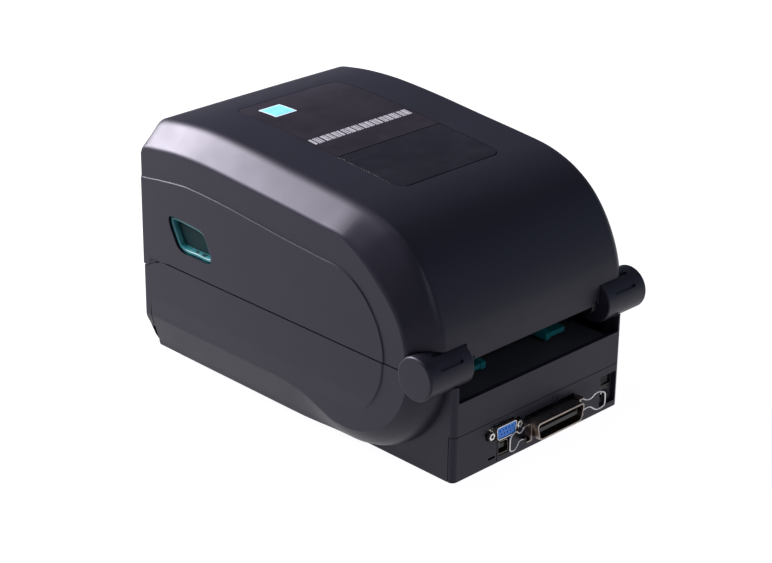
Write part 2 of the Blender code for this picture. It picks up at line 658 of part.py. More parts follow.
def roll_holders():
    """Two sliding roll holders with core hubs, and their edge guides near the platen."""
    line = circle(ROLL_Y, ROLL_Z, 25.0, 20, radians(9))
    leg = [(22, 60), (22, 18.4), (38, 18.4), (38, 60)]
    wing = [(45, 66), (92, 56.2), (107, 56.2), (107, 60.5), (92, 63.5), (52, 84)]
    for side in (-1, 1):
        name, sign = sided(side)
        middle = sign * (FACE_REST + 2)
        plate = outline("roll_holder_" + name, [line], 4.0, (middle, 0, 0))
        hub = turned("holder_hub_form_" + name,
                     [(0, 7), (11, 7), (12.3, 5.5), (12.3, -1), (0, -1)],
                     "X", (sign * FACE_REST, ROLL_Y, ROLL_Z), 24)
        if sign > 0:
            hub.rotation_euler = (0, -pi / 2, 0)
        bar = box("holder_bar_form_" + name,
                  sorted_low(sign, FACE_REST, 46, 94, 57.0),
                  sorted_high(sign, FACE_REST, 46, 106.5, 60.2))
        join(plate, outline("holder_leg_form_" + name, [leg], 4.0, (middle, 0, 0)),
             outline("holder_wing_form_" + name, [wing], 4.0, (middle, 0, 0)), hub, bar)
        finish(plate, "teal")
        carry(joint("roll_holder_axis_" + name, sign * FACE_REST, ROLL_Y, ROLL_Z), plate)
        guide = box("media_guide_" + name,
                    sorted_low(sign, FACE_REST, FACE_REST + 10.5, -74, 62.9),
                    sorted_high(sign, FACE_REST, FACE_REST + 10.5, -44, 64.6))
        wall = box("guide_wall_form_" + name,
                   sorted_low(sign, FACE_REST, FACE_REST + 2, -74, 63.5),
                   sorted_high(sign, FACE_REST, FACE_REST + 2, -44, 73.0))
        key = box("guide_key_form_" + name,
                  sorted_low(sign, FACE_REST + 1, FACE_REST + 5, -57, 56.5),
                  sorted_high(sign, FACE_REST + 1, FACE_REST + 5, -53, 63.5))
        join(guide, wall, key)
        finish(guide, "teal", smooth=False)
        carry(joint("media_guide_axis_" + name, sign * FACE_REST, -59, 64), guide)


def sorted_low(sign, near, far, y, z):
    """Low corner of a box between two distances from the middle, on one side."""
    return (min(sign * near, sign * far), y, z)


def sorted_high(sign, near, far, y, z):
    """High corner of the same box."""
    return (max(sign * near, sign * far), y, z)


def gap_sensor():
    """Label gap sensor on the shelf in front of the platen."""
    sensor = box("gap_sensor", (-8, -98, 63.0), (8, -88, 64.6), bevel=0.4)
    finish(sensor, "socket", smooth=False)


# ---- hinge ------------------------------------------------------------------------------
def hinges():
    """Fixed knuckles with steel pins, and the cover's arms that turn on them."""
    for side in (-1, 1):
        name, sign = sided(side)
        length = KNUCKLE_OUT - KNUCKLE_IN
        half = length / 2
        profile = [(KNUCKLE_R - 1.5, half), (KNUCKLE_R - 0.4, half - 0.4),
                   (KNUCKLE_R, half - 1.5), (KNUCKLE_R, -half), (PIN_R + GAP, -half),
                   (PIN_R + GAP, 0), (0, 0)]
        centre = (sign * (KNUCKLE_IN + half), HINGE_Y, HINGE_Z)
        profile = [(0, half)] + profile
        knuckle = turned("hinge_knuckle_" + name, profile, "X", centre, 32)
        if sign < 0:
            knuckle.rotation_euler = (0, -pi / 2, 0)
        finish(knuckle, "housing")
        pin = rod("hinge_pin_" + name, PIN_R, 29.0, "X",
                  (sign * (KNUCKLE_IN + 3.5), HINGE_Y, HINGE_Z), 16)
        finish(pin, "steel")
        boss = circle(HINGE_Y, HINGE_Z, 6.4, 16)
        bore = circle(HINGE_Y, HINGE_Z, PIN_R + 0.12, 16)
        strap = [(109.5, 77.0), (117.5, 80.0), (115.5, 92), (108.0, 108), (100.0, 119),
                 (92.0, 112)]
        arm = outline("hinge_arm_" + name, [boss, bore], 4.0, (sign * 56.5, 0, 0))
        join(arm, outline("hinge_strap_form_" + name, [strap], 4.0, (sign * 56.5, 0, 0)))
        cut(arm, rod("strap_bore_" + name, PIN_R + 0.12, 8, "X",
                     (sign * 56.5, HINGE_Y, HINGE_Z), 16, True))
        finish(arm, "steel", smooth=False)
        COVER.append(arm)


# ---- cover --------------------------------------------------------------------------------
COVER = []                    # pieces that swing with the cover


def offset(points, distance):
    """Move an open (y, z) line to its right-hand side, seen along its run."""
    moved = []
    for i, point in enumerate(points):
        before = Vector(points[max(i - 1, 0)])
        after = Vector(points[min(i + 1, len(points) - 1)])
        way = (after - before).normalized()
        moved.append((point[0] + way.y * distance, point[1] - way.x * distance))
    return moved


def cover_sections(inset=0.0, drop=0.0):
    """Outlines of the cover from side to side; drop lowers the open rim."""
    rim_z = SPLIT_Z + GAP
    front_rim = [(y, z + GAP - drop) for y, z in reversed(SPLIT_FRONT[1:])]

    def closed(line, front):
        line = offset(line, inset)
        last = (line[-1][0], rim_z - drop)
        nose = (front + inset, SPLIT_FRONT[0][1] + GAP - drop)
        rim = [(max(y, front + inset + 1), z) for y, z in front_rim]
        return [nose] + line + [last] + rim

    face = closed(offset(SHOULDER, -0.5 * inset), FRONT_Y + 4.5)
    crest = closed(ROOF, FRONT_Y)
    middle = closed([(y, z + (CROWN if z > 155 else 0)) for y, z in ROOF], FRONT_Y)
    corner = [((a[0] + b[0]) / 2, (a[1] + b[1]) / 2) for a, b in zip(face, crest)]
    corner[:2] = [(FRONT_Y + inset, face[0][1]), (FRONT_Y + inset, corner[1][1])]
    half = [(HALF_WIDTH - inset, face), (90.0 - inset, corner),
            (CREST_HALF - 0.5 * inset, crest)]
    left = [(-x, points) for x, points in half]
    return left + [(0.0, middle)] + list(reversed(half))


def latch_window(grow=0.0):
    """D-shaped outline of the finger opening in a cheek (y, z)."""
    line = [(-109.5, 110.4), (-104.0, 111.6), (-92, 111.2), (-80.0, 110.1), (-75.0, 107.8),
            (-71.2, 101.0), (-68.4, 92.5), (-70.4, 89.0), (-84, 88.8), (-95.5, 88.7),
            (-101.5, 91.4), (-106.0, 98.5), (-109.6, 106.0)]
    middle = (-89.0, 100.0)
    return [(y + grow * (y - middle[0]) / 20, z + grow * (z - middle[1]) / 11)
            for y, z in line]


def cover_shell():
    """Hood with window opening, latch openings, button hole and hinge notches."""
    shell = loft("cover_shell", cover_sections())
    cut(shell, loft("cover_hollow", cover_sections(2.8, 12.0), True))
    cut(shell, *hinge_clearance("cover_notch"))
    for side in (-1, 1):
        name, sign = sided(side)
        cut(shell,
            outline("latch_cut_" + name, [latch_window()], 10, (sign * 96, 0, 0),
                    cutter=True),
            rod("arm_notch_" + name, 7.2, 5.0, "X", (sign * 56.5, HINGE_Y, HINGE_Z), 20,
                True))
    recess = panel_block("panel_recess", 0.3, -1.6, 6.0)
    boolean(recess, corner_form("recess_plan", 0.3), "INTERSECT")
    cut(shell, recess,
        box("window_cut", (-PANEL_HALF + 4, PANEL_JOINT + 4, 140),
            (PANEL_HALF - 4, PANEL_REAR - 4, 190), True),
        rod("button_hole", BUTTON_R + GAP, 12, "Y", (BUTTON_X, -138, BUTTON_Z), 24, True),
        box("lens_hole", (LENS_X - 5.3, -142, BUTTON_Z - 2.3),
            (LENS_X + 5.3, -130, BUTTON_Z + 2.3), True),
        box("exit_lip", (-EXIT_HALF, -150, 60), (EXIT_HALF, -130, EXIT_Z1), True))
    for sign in (-1, 1):
        join(shell, rod("latch_boss_form_%d" % sign, 2.0, 14.0, "X",
                        (sign * 88.0, LATCH_Y, LATCH_Z), 12))
    finish(shell, "housing")
    COVER.append(shell)


def roof_strip(name, low_y, high_y, low, high, half):
    """Slab that follows the roof between two stations, at heights below it."""
    line = [(y, z + CROWN * (1 - half / CREST_HALF)) for y, z in ROOF if -130 < y < 60]
    top = [(y, z + high) for y, z in line]
    base = [(y, z + low) for y, z in reversed(line)]
    strip = outline(name, [top + base], 2 * half)
    ends = [box(name + "_front", (-100, -200, 100), (100, low_y, 200), True),
            box(name + "_rear", (-100, high_y, 100), (100, 200, 200), True)]
    return cut(strip, *ends)


def panel_block(name, grow, low, high):
    """Rounded block over the whole top panel, from low to high about the roof line."""
    strip = roof_strip(name, PANEL_FRONT - grow, PANEL_REAR + grow, low, high,
                       PANEL_HALF + grow)
    link(strip, cutter=True)
    return strip


def corner_form(name, grow=0.0):
    """Vertical prism with the plan of the top panel, to round its corners."""
    middle = (PANEL_FRONT + PANEL_REAR) / 2
    half_y = (PANEL_REAR - PANEL_FRONT) / 2
    plan = rounded_rect(0, middle, PANEL_HALF + grow, half_y + grow, 8.0, 5)
    return outline(name, [plan], 120, (0, 0, 160), "XY", cutter=True)


def top_panel():
    """Gloss overlay in front and smoked window behind, both let into the roof."""
    overlay = roof_strip("top_overlay", PANEL_FRONT, PANEL_JOINT, -1.3, -0.1, PANEL_HALF)
    boolean(overlay, corner_form("overlay_plan"), "INTERSECT")
    finish(overlay, "gloss")
    window = roof_strip("window", PANEL_JOINT + GAP, PANEL_REAR, -1.3, -0.1, PANEL_HALF)
    boolean(window, corner_form("window_plan"), "INTERSECT")
    finish(window, "window")
    COVER.extend([overlay, window])


def controls():
    """Feed button, its circuit board and the status lens in the cover's front face."""
    board = box("button_board", (2, -127.5, BUTTON_Z - 8), (46, -126, BUTTON_Z + 8))
    finish(board, "board", smooth=False)
    lens = box("status_lens", (LENS_X - 5, -138.2, BUTTON_Z - 2),
               (LENS_X + 5, -130, BUTTON_Z + 2), bevel=0.6)
    finish(lens, "lens", smooth=False)
    button = turned("feed_button",
                    [(0, 3.0), (4, 3.0), (4, -2), (BUTTON_R, -2), (BUTTON_R, -5.4),
                     (BUTTON_R - 0.8, -6.0), (0, -6.0)],
                    "Y", (BUTTON_X, -132.4, BUTTON_Z), 24)
    finish(button, "socket")
    COVER.extend([board, lens])
    axis = joint("feed_button_axis", BUTTON_X, -132.4, BUTTON_Z)
    carry(axis, button)
    COVER.append(axis)


def latches():
    """Release latches: a dished pull behind each opening, on a lever with a hook."""
    for side in (-1, 1):
        name, sign = sided(side)
        middle = sign * (LATCH_X - 3.0)
        pull = outline("release_latch_" + name, [latch_window(2.6)], 6.0, (middle, 0, 0))
        dish = outline("latch_dish_" + name, [latch_window(-2.0)], 4.4,
                       (sign * (LATCH_X - 1.6), 0, 0), cutter=True)
        cut(pull, dish)
        lever_line = [(-93.5, 132.0), (-82.5, 132.0), (-87.2, 100.0), (-87.2, 55.4),
                      (-82.0, 55.0), (-82.0, 52.0), (-89.5, 49.5), (-93.0, 54.0),
                      (-93.5, 100.0)]
        lever = outline("latch_lever_form_" + name,
                        [lever_line, circle(LATCH_Y, LATCH_Z, 2.3, 12)],
                        4.0, (sign * (LATCH_X - 7.5), 0, 0))
        join(pull, lever)
        finish(pull, "teal", smooth=False)
        axis = joint("latch_axis_" + name, sign * LATCH_X, LATCH_Y, LATCH_Z)
        carry(axis, pull)
        COVER.append(axis)


def ribbon_carriage():
    """Moulded frame in the cover that holds the ribbon hubs and the print head."""
    line = [(-128, 92), (-128, 146), (-116, 160), (-40, 160), (-28, 140), (-28, 108),
            (-60, 92), (-84, 74), (-98, 74)]
    holes = [circle(SUPPLY_Y, SUPPLY_Z, 4.3, 12), circle(TAKEUP_Y, TAKEUP_Z, 4.3, 12)]
    middle = ARM_X + ARM_THICK / 2
    frame = outline("ribbon_carriage", [line] + holes, ARM_THICK, (-middle, 0, 0))
    right = outline("carriage_right_form", [line] + holes, ARM_THICK, (middle, 0, 0))
    reach = ARM_X + 1
    join(frame, right,
         box("carriage_front_form", (-reach, -127.5, 147), (reach, -124.5, 151)),
         box("carriage_roof_form", (-reach, -84, 155.5), (reach, -60, 158)),
         box("carriage_rear_form", (-reach, -34, 118), (reach, -30, 138)),
         box("pressure_bar_form", (-reach, -122, 93), (reach, -106, 96.5)))
    for sign in (-1, 1):
        join(frame, rod("head_pivot_form_%d" % sign, 2.0, 9.0, "X",
                        (sign * 56.3, HEAD_AXIS_Y, HEAD_AXIS_Z), 12))
    finish(frame, "liner")
    COVER.append(frame)


def ribbon_hub(name, sign, y, z):
    """Notched hub that enters the ribbon core, with its stub shaft in the carriage."""
    profile = [(0, 11.5), (5.2, 11.5), (6.2, 10.0), (6.2, 2.0), (11.5, 2.0), (11.5, 0.4),
               (4.0, 0.4), (4.0, -3.8), (0, -3.8)]
    hub = turned(name, profile, "X", (sign * ARM_X, y, z), 20)
    if sign > 0:
        hub.rotation_euler = (0, -pi / 2, 0)
    finish(hub, "teal")
    axis = joint(name + "_axis", sign * ARM_X, y, z)
    carry(axis, hub)
    COVER.append(axis)


def ribbon_hubs():
    for side in (-1, 1):
        name, sign = sided(side)
        ribbon_hub("supply_hub_" + name, sign, SUPPLY_Y, SUPPLY_Z)
        ribbon_hub("takeup_hub_" + name, sign, TAKEUP_Y, TAKEUP_Z)
        if sign < 0:
            teeth = 24
            step = 2 * pi / teeth
            loop = [((16.5 - 1.3 * (k in (0, 3))) * cos(step * (i + 0.25 * k)),
                     (16.5 - 1.3 * (k in (0, 3))) * sin(step * (i + 0.25 * k)))
                    for i in range(teeth) for k in range(4)]
            hub = bpy.data.objects["takeup_hub_left"]
            join(hub, outline("takeup_wheel_form", [loop], 4.0,
                              (-ARM_X - 5.4, TAKEUP_Y, TAKEUP_Z)))


def print_head():
    """Spring-loaded print head that rests above the platen."""
    bracket = box("head_bracket", (-55, -124, 75.5), (55, -97, 78.0))
    ear_line = [(-102, 76.0), (-97, 76.0), (-87.5, 80.5), (-87.5, 88.0), (-96.0, 88.0)]
    for side in (-1, 1):
        name, sign = sided(side)
        ear = outline("head_ear_form_" + name, [ear_line], 3.0, (sign * 53.5, 0, 0))
        join(bracket, ear)
        cut(bracket, rod("ear_bore_" + name, 2.25, 8, "X",
                         (sign * 53.5, HEAD_AXIS_Y, HEAD_AXIS_Z), 12, True))
    finish(bracket, "steel", smooth=False)
    sink = box("head_heatsink", (-54, -123, 70.0), (54, -99, 75.2))
    for i in range(5):
        y = -104.5 - 3.6 * i
        cut(sink, box("fin_cut_%d" % i, (-60, y - 1, 72.0), (60, y + 1, 76), True))
    finish(sink, "aluminium", smooth=False)
    strip = box("print_head", (-54, -122.6, 68.4), (54, -111, 69.7), bevel=0.3, edges="X")
    finish(strip, "ceramic", smooth=False)
    axis = joint("print_head_axis", 0, HEAD_AXIS_Y, HEAD_AXIS_Z)
    carry(axis, bracket, sink, strip)
    COVER.append(axis)
    for side in (-1, 1):
        name, sign = sided(side)
        COVER.append(head_spring("head_spring_" + name, sign * 30, -114))


def head_spring(name, x, y):
    """Compression spring between the head bracket and the pressure bar."""
    low, high, turns, radius = 79.0, 92.0, 5, 3.6
    steps = turns * 8
    points = [(x + radius * cos(2 * pi * i / 8), y + radius * sin(2 * pi * i / 8),
               low + (high - low) * i / steps) for i in range(steps + 1)]
    return finish(wire(name, points, 0.45, 1), "steel")


# ---- assembly -----------------------------------------------------------------------------
def assemble():
    base_housing()
    front_bezel()
    bottom_parts()
    tear_bar()
    rear_panel()
    serial_port()
    parallel_port()
    usb_port()
    power_parts()
    main_board()
    media_well()
    side_frames()
    gear_train()
    roll_holders()
    gap_sensor()
    hinges()
    cover_shell()
    top_panel()
    controls()
    latches()
    ribbon_carriage()
    ribbon_hubs()
    print_head()
    cover_axis = joint("cover_axis", 0, HINGE_Y, HINGE_Z)
    for piece in COVER:
        carry(cover_axis, piece)


assemble()
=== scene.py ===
"""Looks of a desktop thermal-transfer label printer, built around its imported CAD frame.

Lengths are millimetres unless a comment says otherwise, and the helpers turn them into the
frame's metres. +Z is up, +X is the user's right, and the label leaves at the front, -Y.
"""

from math import cos, pi, radians, sin

import bmesh
import bpy
from mathutils import Matrix, Vector


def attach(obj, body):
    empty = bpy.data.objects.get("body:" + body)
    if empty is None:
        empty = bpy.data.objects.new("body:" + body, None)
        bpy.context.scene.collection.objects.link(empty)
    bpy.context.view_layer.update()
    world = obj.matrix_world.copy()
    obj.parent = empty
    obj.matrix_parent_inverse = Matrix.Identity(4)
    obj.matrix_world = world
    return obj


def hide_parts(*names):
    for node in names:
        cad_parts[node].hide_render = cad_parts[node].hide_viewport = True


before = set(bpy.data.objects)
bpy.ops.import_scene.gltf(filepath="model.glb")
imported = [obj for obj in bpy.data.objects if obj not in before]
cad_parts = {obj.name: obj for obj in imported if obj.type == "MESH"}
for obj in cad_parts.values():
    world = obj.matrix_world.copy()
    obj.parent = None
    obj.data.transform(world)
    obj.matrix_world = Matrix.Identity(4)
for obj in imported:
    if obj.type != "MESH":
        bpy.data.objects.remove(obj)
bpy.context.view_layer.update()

MM = 0.001
WELD = 0.001 * MM             # points closer than this are one

# ---- sizes that the outer pieces share
HALF_WIDTH = 97.0             # outer face of the side cheeks
CREST_HALF = 81.0             # where the side chamfer meets the roof
FRONT_Y = -138.5
CORNER_R = 1.6                # vertical front corners
SHOULDER_R = 1.5              # rounding between the chamfer and the side face
CREST_ROUND = 3.6             # half width of the rounding between the roof and the chamfer
CROWN = 0.3                   # rise of the roof between its crests
SKIN = 2.8                    # wall of the hood
HOOD_RIM = 76.0               # lower edge of the hood
BASE_RIM = 75.0               # upper edge of the base
RIM_GAP = HOOD_RIM - BASE_RIM     # parting line between them
WALL = 3.0                    # wall of the base
CREASE_Z = 32.5               # where the sides start to slope inwards
SEAM_Y = -132.0               # between front bezel and base
CHEEK_Y, CHEEK_Z = 53.0, 74.0     # centre of the rear arc of the base
PROUD = 0.75                  # height of the raised cheek panels
HINGE_Y, HINGE_Z = 115.0, 75.2
KNUCKLE_R, KNUCKLE_IN, KNUCKLE_OUT = 14.2, 62.0, 99.0
ARM_X, ARM_HALF, ARM_NOTCH_R = 56.5, 2.5, 7.2
REAR_HALF, REAR_Y, REAR_BOTTOM = 77.4, 128.0, 2.0
POST_Z, LIP_Z, PANEL_Z = 66.0, 54.8, 32.2
TOP_HALF, TOP_FRONT, TOP_JOINT, TOP_REAR = 45.1, -105.0, -6.8, 48.3
LATCH_X, LATCH_Y, LATCH_Z = 93.6, -88.0, 128.0
BUTTON_X, BUTTON_Z, BUTTON_R, LENS_X = 34.0, 138.0, 7.0, 16.0
EXIT_HALF, EXIT_Z0, EXIT_Z1 = 57.0, 63.2, 72.0

# Roof line (y, z) at the crest of the chamfer, front to rear, and the line below the chamfer.
ROOF = [(-138.5, 150), (-138.2, 160.5), (-135.8, 165.8), (-124, 168.6), (-105, 170.9),
        (-80, 171.8), (-45, 170.1), (-5, 166.6), (35, 163.2), (54, 161), (67.3, 157.8),
        (80, 152.7), (93.2, 144.1), (104, 132.4), (113, 117), (119, 101), (121, 88),
        (121.4, HOOD_RIM)]
SHOULDER = [(-136, 146.5), (-135.7, 149.6), (-133, 151.4), (-121.6, 153.0), (-104, 154.9),
            (-80, 155.5), (-47, 153.6), (-5, 150.7), (30, 147.9), (50, 146.4),
            (59, 142.4), (68, 137), (80, 127.5), (92.3, 115.3), (101, 102.5),
            (105, 91), (106.3, 83), (106.8, HOOD_RIM)]
# Front of the parting line (y, z), where it dips towards the label exit.
SPLIT = [(-138.5, 67.4), (-132, 68.3), (-126, 71.2), (-120, 73.7), (-112, BASE_RIM)]
# Upper edge of the raised cheek panel on the hood, and its rear edge on the base (y, z).
STEP = [(-150, 129.4), (-137, 130.5), (-118.4, 133.1), (-98, 135.5), (-88, 135.9),
        (-59, 134.6), (-30, 132.1), (-3, 129.5), (32.4, 126.9), (45.5, 126.1), (54.2, 124.2),
        (62.8, 120.2), (71.3, 113.6), (78.2, 105.3), (83.4, 96.3), (87, 85.5), (88, HOOD_RIM)]
STEP_LOW = [(88, BASE_RIM), (87.4, 65.7), (85, 56.8), (79.2, 46.5), (72.3, 39.2),
            (62, 34.2), (50, 32.6)]
# Finger opening of a release latch (y, z).
LATCH = [(-109.5, 110.4), (-104.0, 111.6), (-92, 111.2), (-80.0, 110.1), (-75.0, 107.8),
         (-71.2, 101.0), (-68.4, 92.5), (-70.4, 89.0), (-84, 88.8), (-95.5, 88.7),
         (-101.5, 91.4), (-106.0, 98.5), (-109.6, 106.0)]

DRAFTS = []                   # cutters and joined forms, removed before the script ends


# ---- curves
def flowing(points, per):
    """Smooth curve through points, with per steps between neighbours."""
    marks = [Vector(p) for p in points]
    stops = [0.0]
    for before, after in zip(marks, marks[1:]):
        stops.append(stops[-1] + (after - before).length)
    slopes = []
    for i in range(len(marks)):
        low, high = max(i - 1, 0), min(i + 1, len(marks) - 1)
        slopes.append((marks[high] - marks[low]) / (stops[high] - stops[low]))
    line = []
    for i in range(len(marks) - 1):
        span = stops[i + 1] - stops[i]
        for k in range(per):
            t = k / per
            line.append(tuple(marks[i] * (2 * t ** 3 - 3 * t ** 2 + 1)
                              + slopes[i] * span * (t ** 3 - 2 * t ** 2 + t)
                              + marks[i + 1] * (3 * t ** 2 - 2 * t ** 3)
                              + slopes[i + 1] * span * (t ** 3 - t ** 2)))
    return line + [tuple(marks[-1])]


def closed_flow(points, per):
    """Smooth closed curve through points."""
    count = len(points)
    wide = [points[i % count] for i in range(-2, count + 3)]
    line = flowing(wide, per)
    return line[2 * per:(2 + count) * per]


def height_on(line, y):
    """z of an open (y, z) line at y, held at its ends."""
    if y <= line[0][0]:
        return line[0][1]
    for (ya, za), (yb, zb) in zip(line, line[1:]):
        if y <= yb:
            return za + (zb - za) * (y - ya) / (yb - ya)
    return line[-1][1]


def arc(cx, cy, radius, start, end, count):
    """Points of an arc between two angles in degrees, ends included."""
    turns = [radians(start + (end - start) * i / (count - 1)) for i in range(count)]
    return [(cx + radius * cos(t), cy + radius * sin(t)) for t in turns]


def rounded_rect(cx, cy, half_w, half_h, corner):
    points = []
    for sx, sy, start in ((1, 1, 0), (-1, 1, 90), (-1, -1, 180), (1, -1, 270)):
        points += arc(cx + sx * (half_w - corner), cy + sy * (half_h - corner), corner,
                      start, start + 90, 6)
    return points


def inset_line(points, distance, closed=False):
    """(y, z) line moved to its right-hand side, seen along its run."""
    last = len(points) - 1
    moved = []
    for i, (y, z) in enumerate(points):
        before, after = max(i - 1, 0), min(i + 1, last)
        if closed:
            before, after = i - 1, (i + 1) % len(points)
        way = (Vector(points[after]) - Vector(points[before])).normalized()
        moved.append((y + way.y * distance, z - way.x * distance))
    return moved


# ---- mesh helpers
def piece(name, data):
    """Object of a mesh, curve, lamp or camera, linked to the scene."""
    obj = bpy.data.objects.new(name, data)
    bpy.context.scene.collection.objects.link(obj)
    return obj


def evaluated_mesh(obj):
    graph = bpy.context.evaluated_depsgraph_get()
    return bpy.data.meshes.new_from_object(obj.evaluated_get(graph))


def from_bmesh(name, bm):
    """Piece of a bmesh, with its faces wound as they are."""
    mesh = bpy.data.meshes.new(name)
    bm.to_mesh(mesh)
    bm.free()
    return piece(name, mesh)


def closed_piece(name, bm):
    """Piece of a closed bmesh, with its faces turned outwards."""
    bmesh.ops.recalc_face_normals(bm, faces=bm.faces)
    return from_bmesh(name, bm)


def sheet(bm, rows):
    """Open sheet of quads through rows of points; returns its vertices, row by row."""
    made = [[bm.verts.new(Vector(p) * MM) for p in row] for row in rows]
    for row, after in zip(made, made[1:]):
        for i in range(len(row) - 1):
            bm.faces.new((row[i], row[i + 1], after[i + 1], after[i]))
    return made


def skin(name, rows):
    """Closed solid through closed rows of points that share a count."""
    bm = bmesh.new()
    made = [[bm.verts.new(Vector(p) * MM) for p in row] for row in rows]
    for row, after in zip(made, made[1:]):
        for i in range(len(row)):
            k = (i + 1) % len(row)
            bm.faces.new((row[i], row[k], after[k], after[i]))
    bm.faces.new(made[0])
    bm.faces.new(made[-1])
    return closed_piece(name, bm)


def add_line(curve, places, closed):
    """Straight segments between places, which are in metres."""
    spline = curve.splines.new("POLY")
    spline.points.add(len(places) - 1)
    for point, place in zip(spline.points, places):
        point.co = (*place, 1)
    spline.use_cyclic_u = closed


def prism(name, loops, low, high, axis):
    """Outline with holes, extruded along an axis between two stations."""
    curve = bpy.data.curves.new(name, "CURVE")
    curve.dimensions = "2D"
    curve.fill_mode = "BOTH"
    curve.extrude = abs(high - low) / 2 * MM
    for loop in loops:
        add_line(curve, [(a * MM, b * MM, 0) for a, b in loop], True)
    obj = baked_curve(name, curve)
    middle = (low + high) / 2 * MM
    turn = {"X": Matrix(((0, 0, 1, middle), (1, 0, 0, 0), (0, 1, 0, 0), (0, 0, 0, 1))),
            "Y": Matrix(((1, 0, 0, 0), (0, 0, -1, middle), (0, 1, 0, 0), (0, 0, 0, 1))),
            "Z": Matrix.Translation((0, 0, middle))}
    obj.data.transform(turn[axis])
    return obj


def baked_curve(name, curve):
    """Mesh piece of a curve, with its caps welded on."""
    source = piece(name + "_curve", curve)
    bm = bmesh.new()
    bm.from_mesh(evaluated_mesh(source))
    bpy.data.objects.remove(source, do_unlink=True)
    bmesh.ops.remove_doubles(bm, verts=bm.verts, dist=WELD)
    return closed_piece(name, bm)


def wire(name, points, radius):
    """Round wire along points."""
    curve = bpy.data.curves.new(name, "CURVE")
    curve.dimensions = "3D"
    curve.bevel_depth = radius * MM
    curve.bevel_resolution = 4
    curve.use_fill_caps = True
    add_line(curve, [Vector(point) * MM for point in points], False)
    return baked_curve(name, curve)


def block(name, low, high, bevel=0.0, edges="XYZ", segments=2):
    """Box between two corners; edges names the axes whose edges are bevelled."""
    size = Vector(high) - Vector(low)
    middle = (Vector(high) + Vector(low)) / 2 * MM
    bm = bmesh.new()
    bmesh.ops.create_cube(bm, size=1.0)
    bmesh.ops.scale(bm, vec=size * MM, verts=bm.verts)
    if bevel:
        chosen = [e for e in bm.edges if runs_along(e, edges)]
        bmesh.ops.bevel(bm, geom=chosen, offset=bevel * MM, segments=segments, profile=0.5,
                        affect="EDGES")
    bmesh.ops.translate(bm, vec=middle, verts=bm.verts)
    return closed_piece(name, bm)


def runs_along(edge, axes):
    way = edge.verts[1].co - edge.verts[0].co
    return any(abs(way["XYZ".index(axis)]) > 0.99 * way.length for axis in axes)


def turned(name, profile, axis, centre, steps, flip=False):
    """Solid of revolution; profile runs (radius, height) from axis to axis, or round a ring."""
    frames = {"X": ((0, 0, 1), (0, 1, 0), (-1, 0, 0)), "Y": ((1, 0, 0), (0, 0, 1), (0, -1, 0)),
              "Z": ((1, 0, 0), (0, 1, 0), (0, 0, 1))}
    turn = Matrix(frames[axis])
    sign = -1 if flip else 1
    bm = bmesh.new()
    rings = []
    for radius, height in profile:
        angles = [2 * pi * i / steps for i in range(steps)] if radius > 0 else [0.0]
        rings.append([bm.verts.new((Vector(centre) + turn @ Vector(
            (radius * cos(t), radius * sin(t), sign * height))) * MM) for t in angles])
    for ring, after in zip(rings, rings[1:] if profile[0][0] == 0 else rings[1:] + rings[:1]):
        for i in range(steps):
            k = (i + 1) % steps
            corners = [ring[i % len(ring)], ring[k % len(ring)], after[k % len(after)],
                       after[i % len(after)]]
            kept = [v for n, v in enumerate(corners) if v not in corners[:n]]
            if len(kept) > 2:
                bm.faces.new(kept)
    return closed_piece(name, bm)


def rod(name, radius, low, high, axis, centre, steps=32):
    """Cylinder between two stations on its axis."""
    profile = [(0, low), (radius, low), (radius, high), (0, high)]
    return turned(name, profile, axis, centre, steps)


def combine(obj, operation, *others):
    """Boolean modifiers of a piece, which use up the other pieces."""
    for other in others:
        mod = obj.modifiers.new(operation.lower(), "BOOLEAN")
        mod.operation = operation
        mod.solver = "MANIFOLD"
        mod.object = other
        DRAFTS.append(other)
    return obj


def cut(obj, *others):
    return combine(obj, "DIFFERENCE", *others)


def join(obj, *others):
    return combine(obj, "UNION", *others)


def keep(obj, *others):
    return combine(obj, "INTERSECT", *others)


def settle(obj):
    """Apply the modifiers of a piece."""
    mesh = evaluated_mesh(obj)
    obj.modifiers.clear()
    obj.data = mesh
    return obj


def thicken(obj, thickness, offset):
    """Sheet given a wall: behind its faces with offset -1, to both sides with 0."""
    wall = obj.modifiers.new("wall", "SOLIDIFY")
    wall.thickness = thickness * MM
    wall.offset = offset
    wall.use_even_offset = False
    return settle(obj)


def soften(obj, width, angle, segments=2):
    """Rounded edges where faces meet at more than an angle."""
    mod = obj.modifiers.new("soften", "BEVEL")
    mod.width = width * MM
    mod.segments = segments
    mod.limit_method = "ANGLE"
    mod.angle_limit = radians(angle)


def round_edges(obj, width, chosen):
    """Round the edges whose two ends both satisfy chosen(point in mm)."""
    bm = bmesh.new()
    bm.from_mesh(obj.data)
    layer = bm.edges.layers.float.new("bevel_weight_edge")
    for edge in bm.edges:
        if all(chosen(v.co / MM) for v in edge.verts):
            edge[layer] = 1.0
    bm.to_mesh(obj.data)
    bm.free()
    mod = obj.modifiers.new("rounding", "BEVEL")
    mod.width = width * MM
    mod.segments = 3
    mod.limit_method = "WEIGHT"
    mod.use_clamp_overlap = False
    settle(obj)


def install(obj, body, look, slot, *nodes, sharp=30):
    """Finish a piece: modifiers applied, shaded, dressed, riding on its body."""
    settle(obj)
    obj.data.materials.clear()
    obj.data.materials.append(LOOKS[look])
    obj.data.shade_smooth()
    obj.data.set_sharp_from_angle(angle=radians(sharp))
    obj.modifiers.new("even shading", "WEIGHTED_NORMAL").keep_sharp = True
    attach(obj, body)
    if nodes:
        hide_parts(*nodes)
    return obj


def sided(sign):
    return "left" if sign < 0 else "right"


def side_span(sign, inner, outer):
    """Two stations on one side of the printer, in rising order."""
    return sorted((sign * inner, sign * outer))


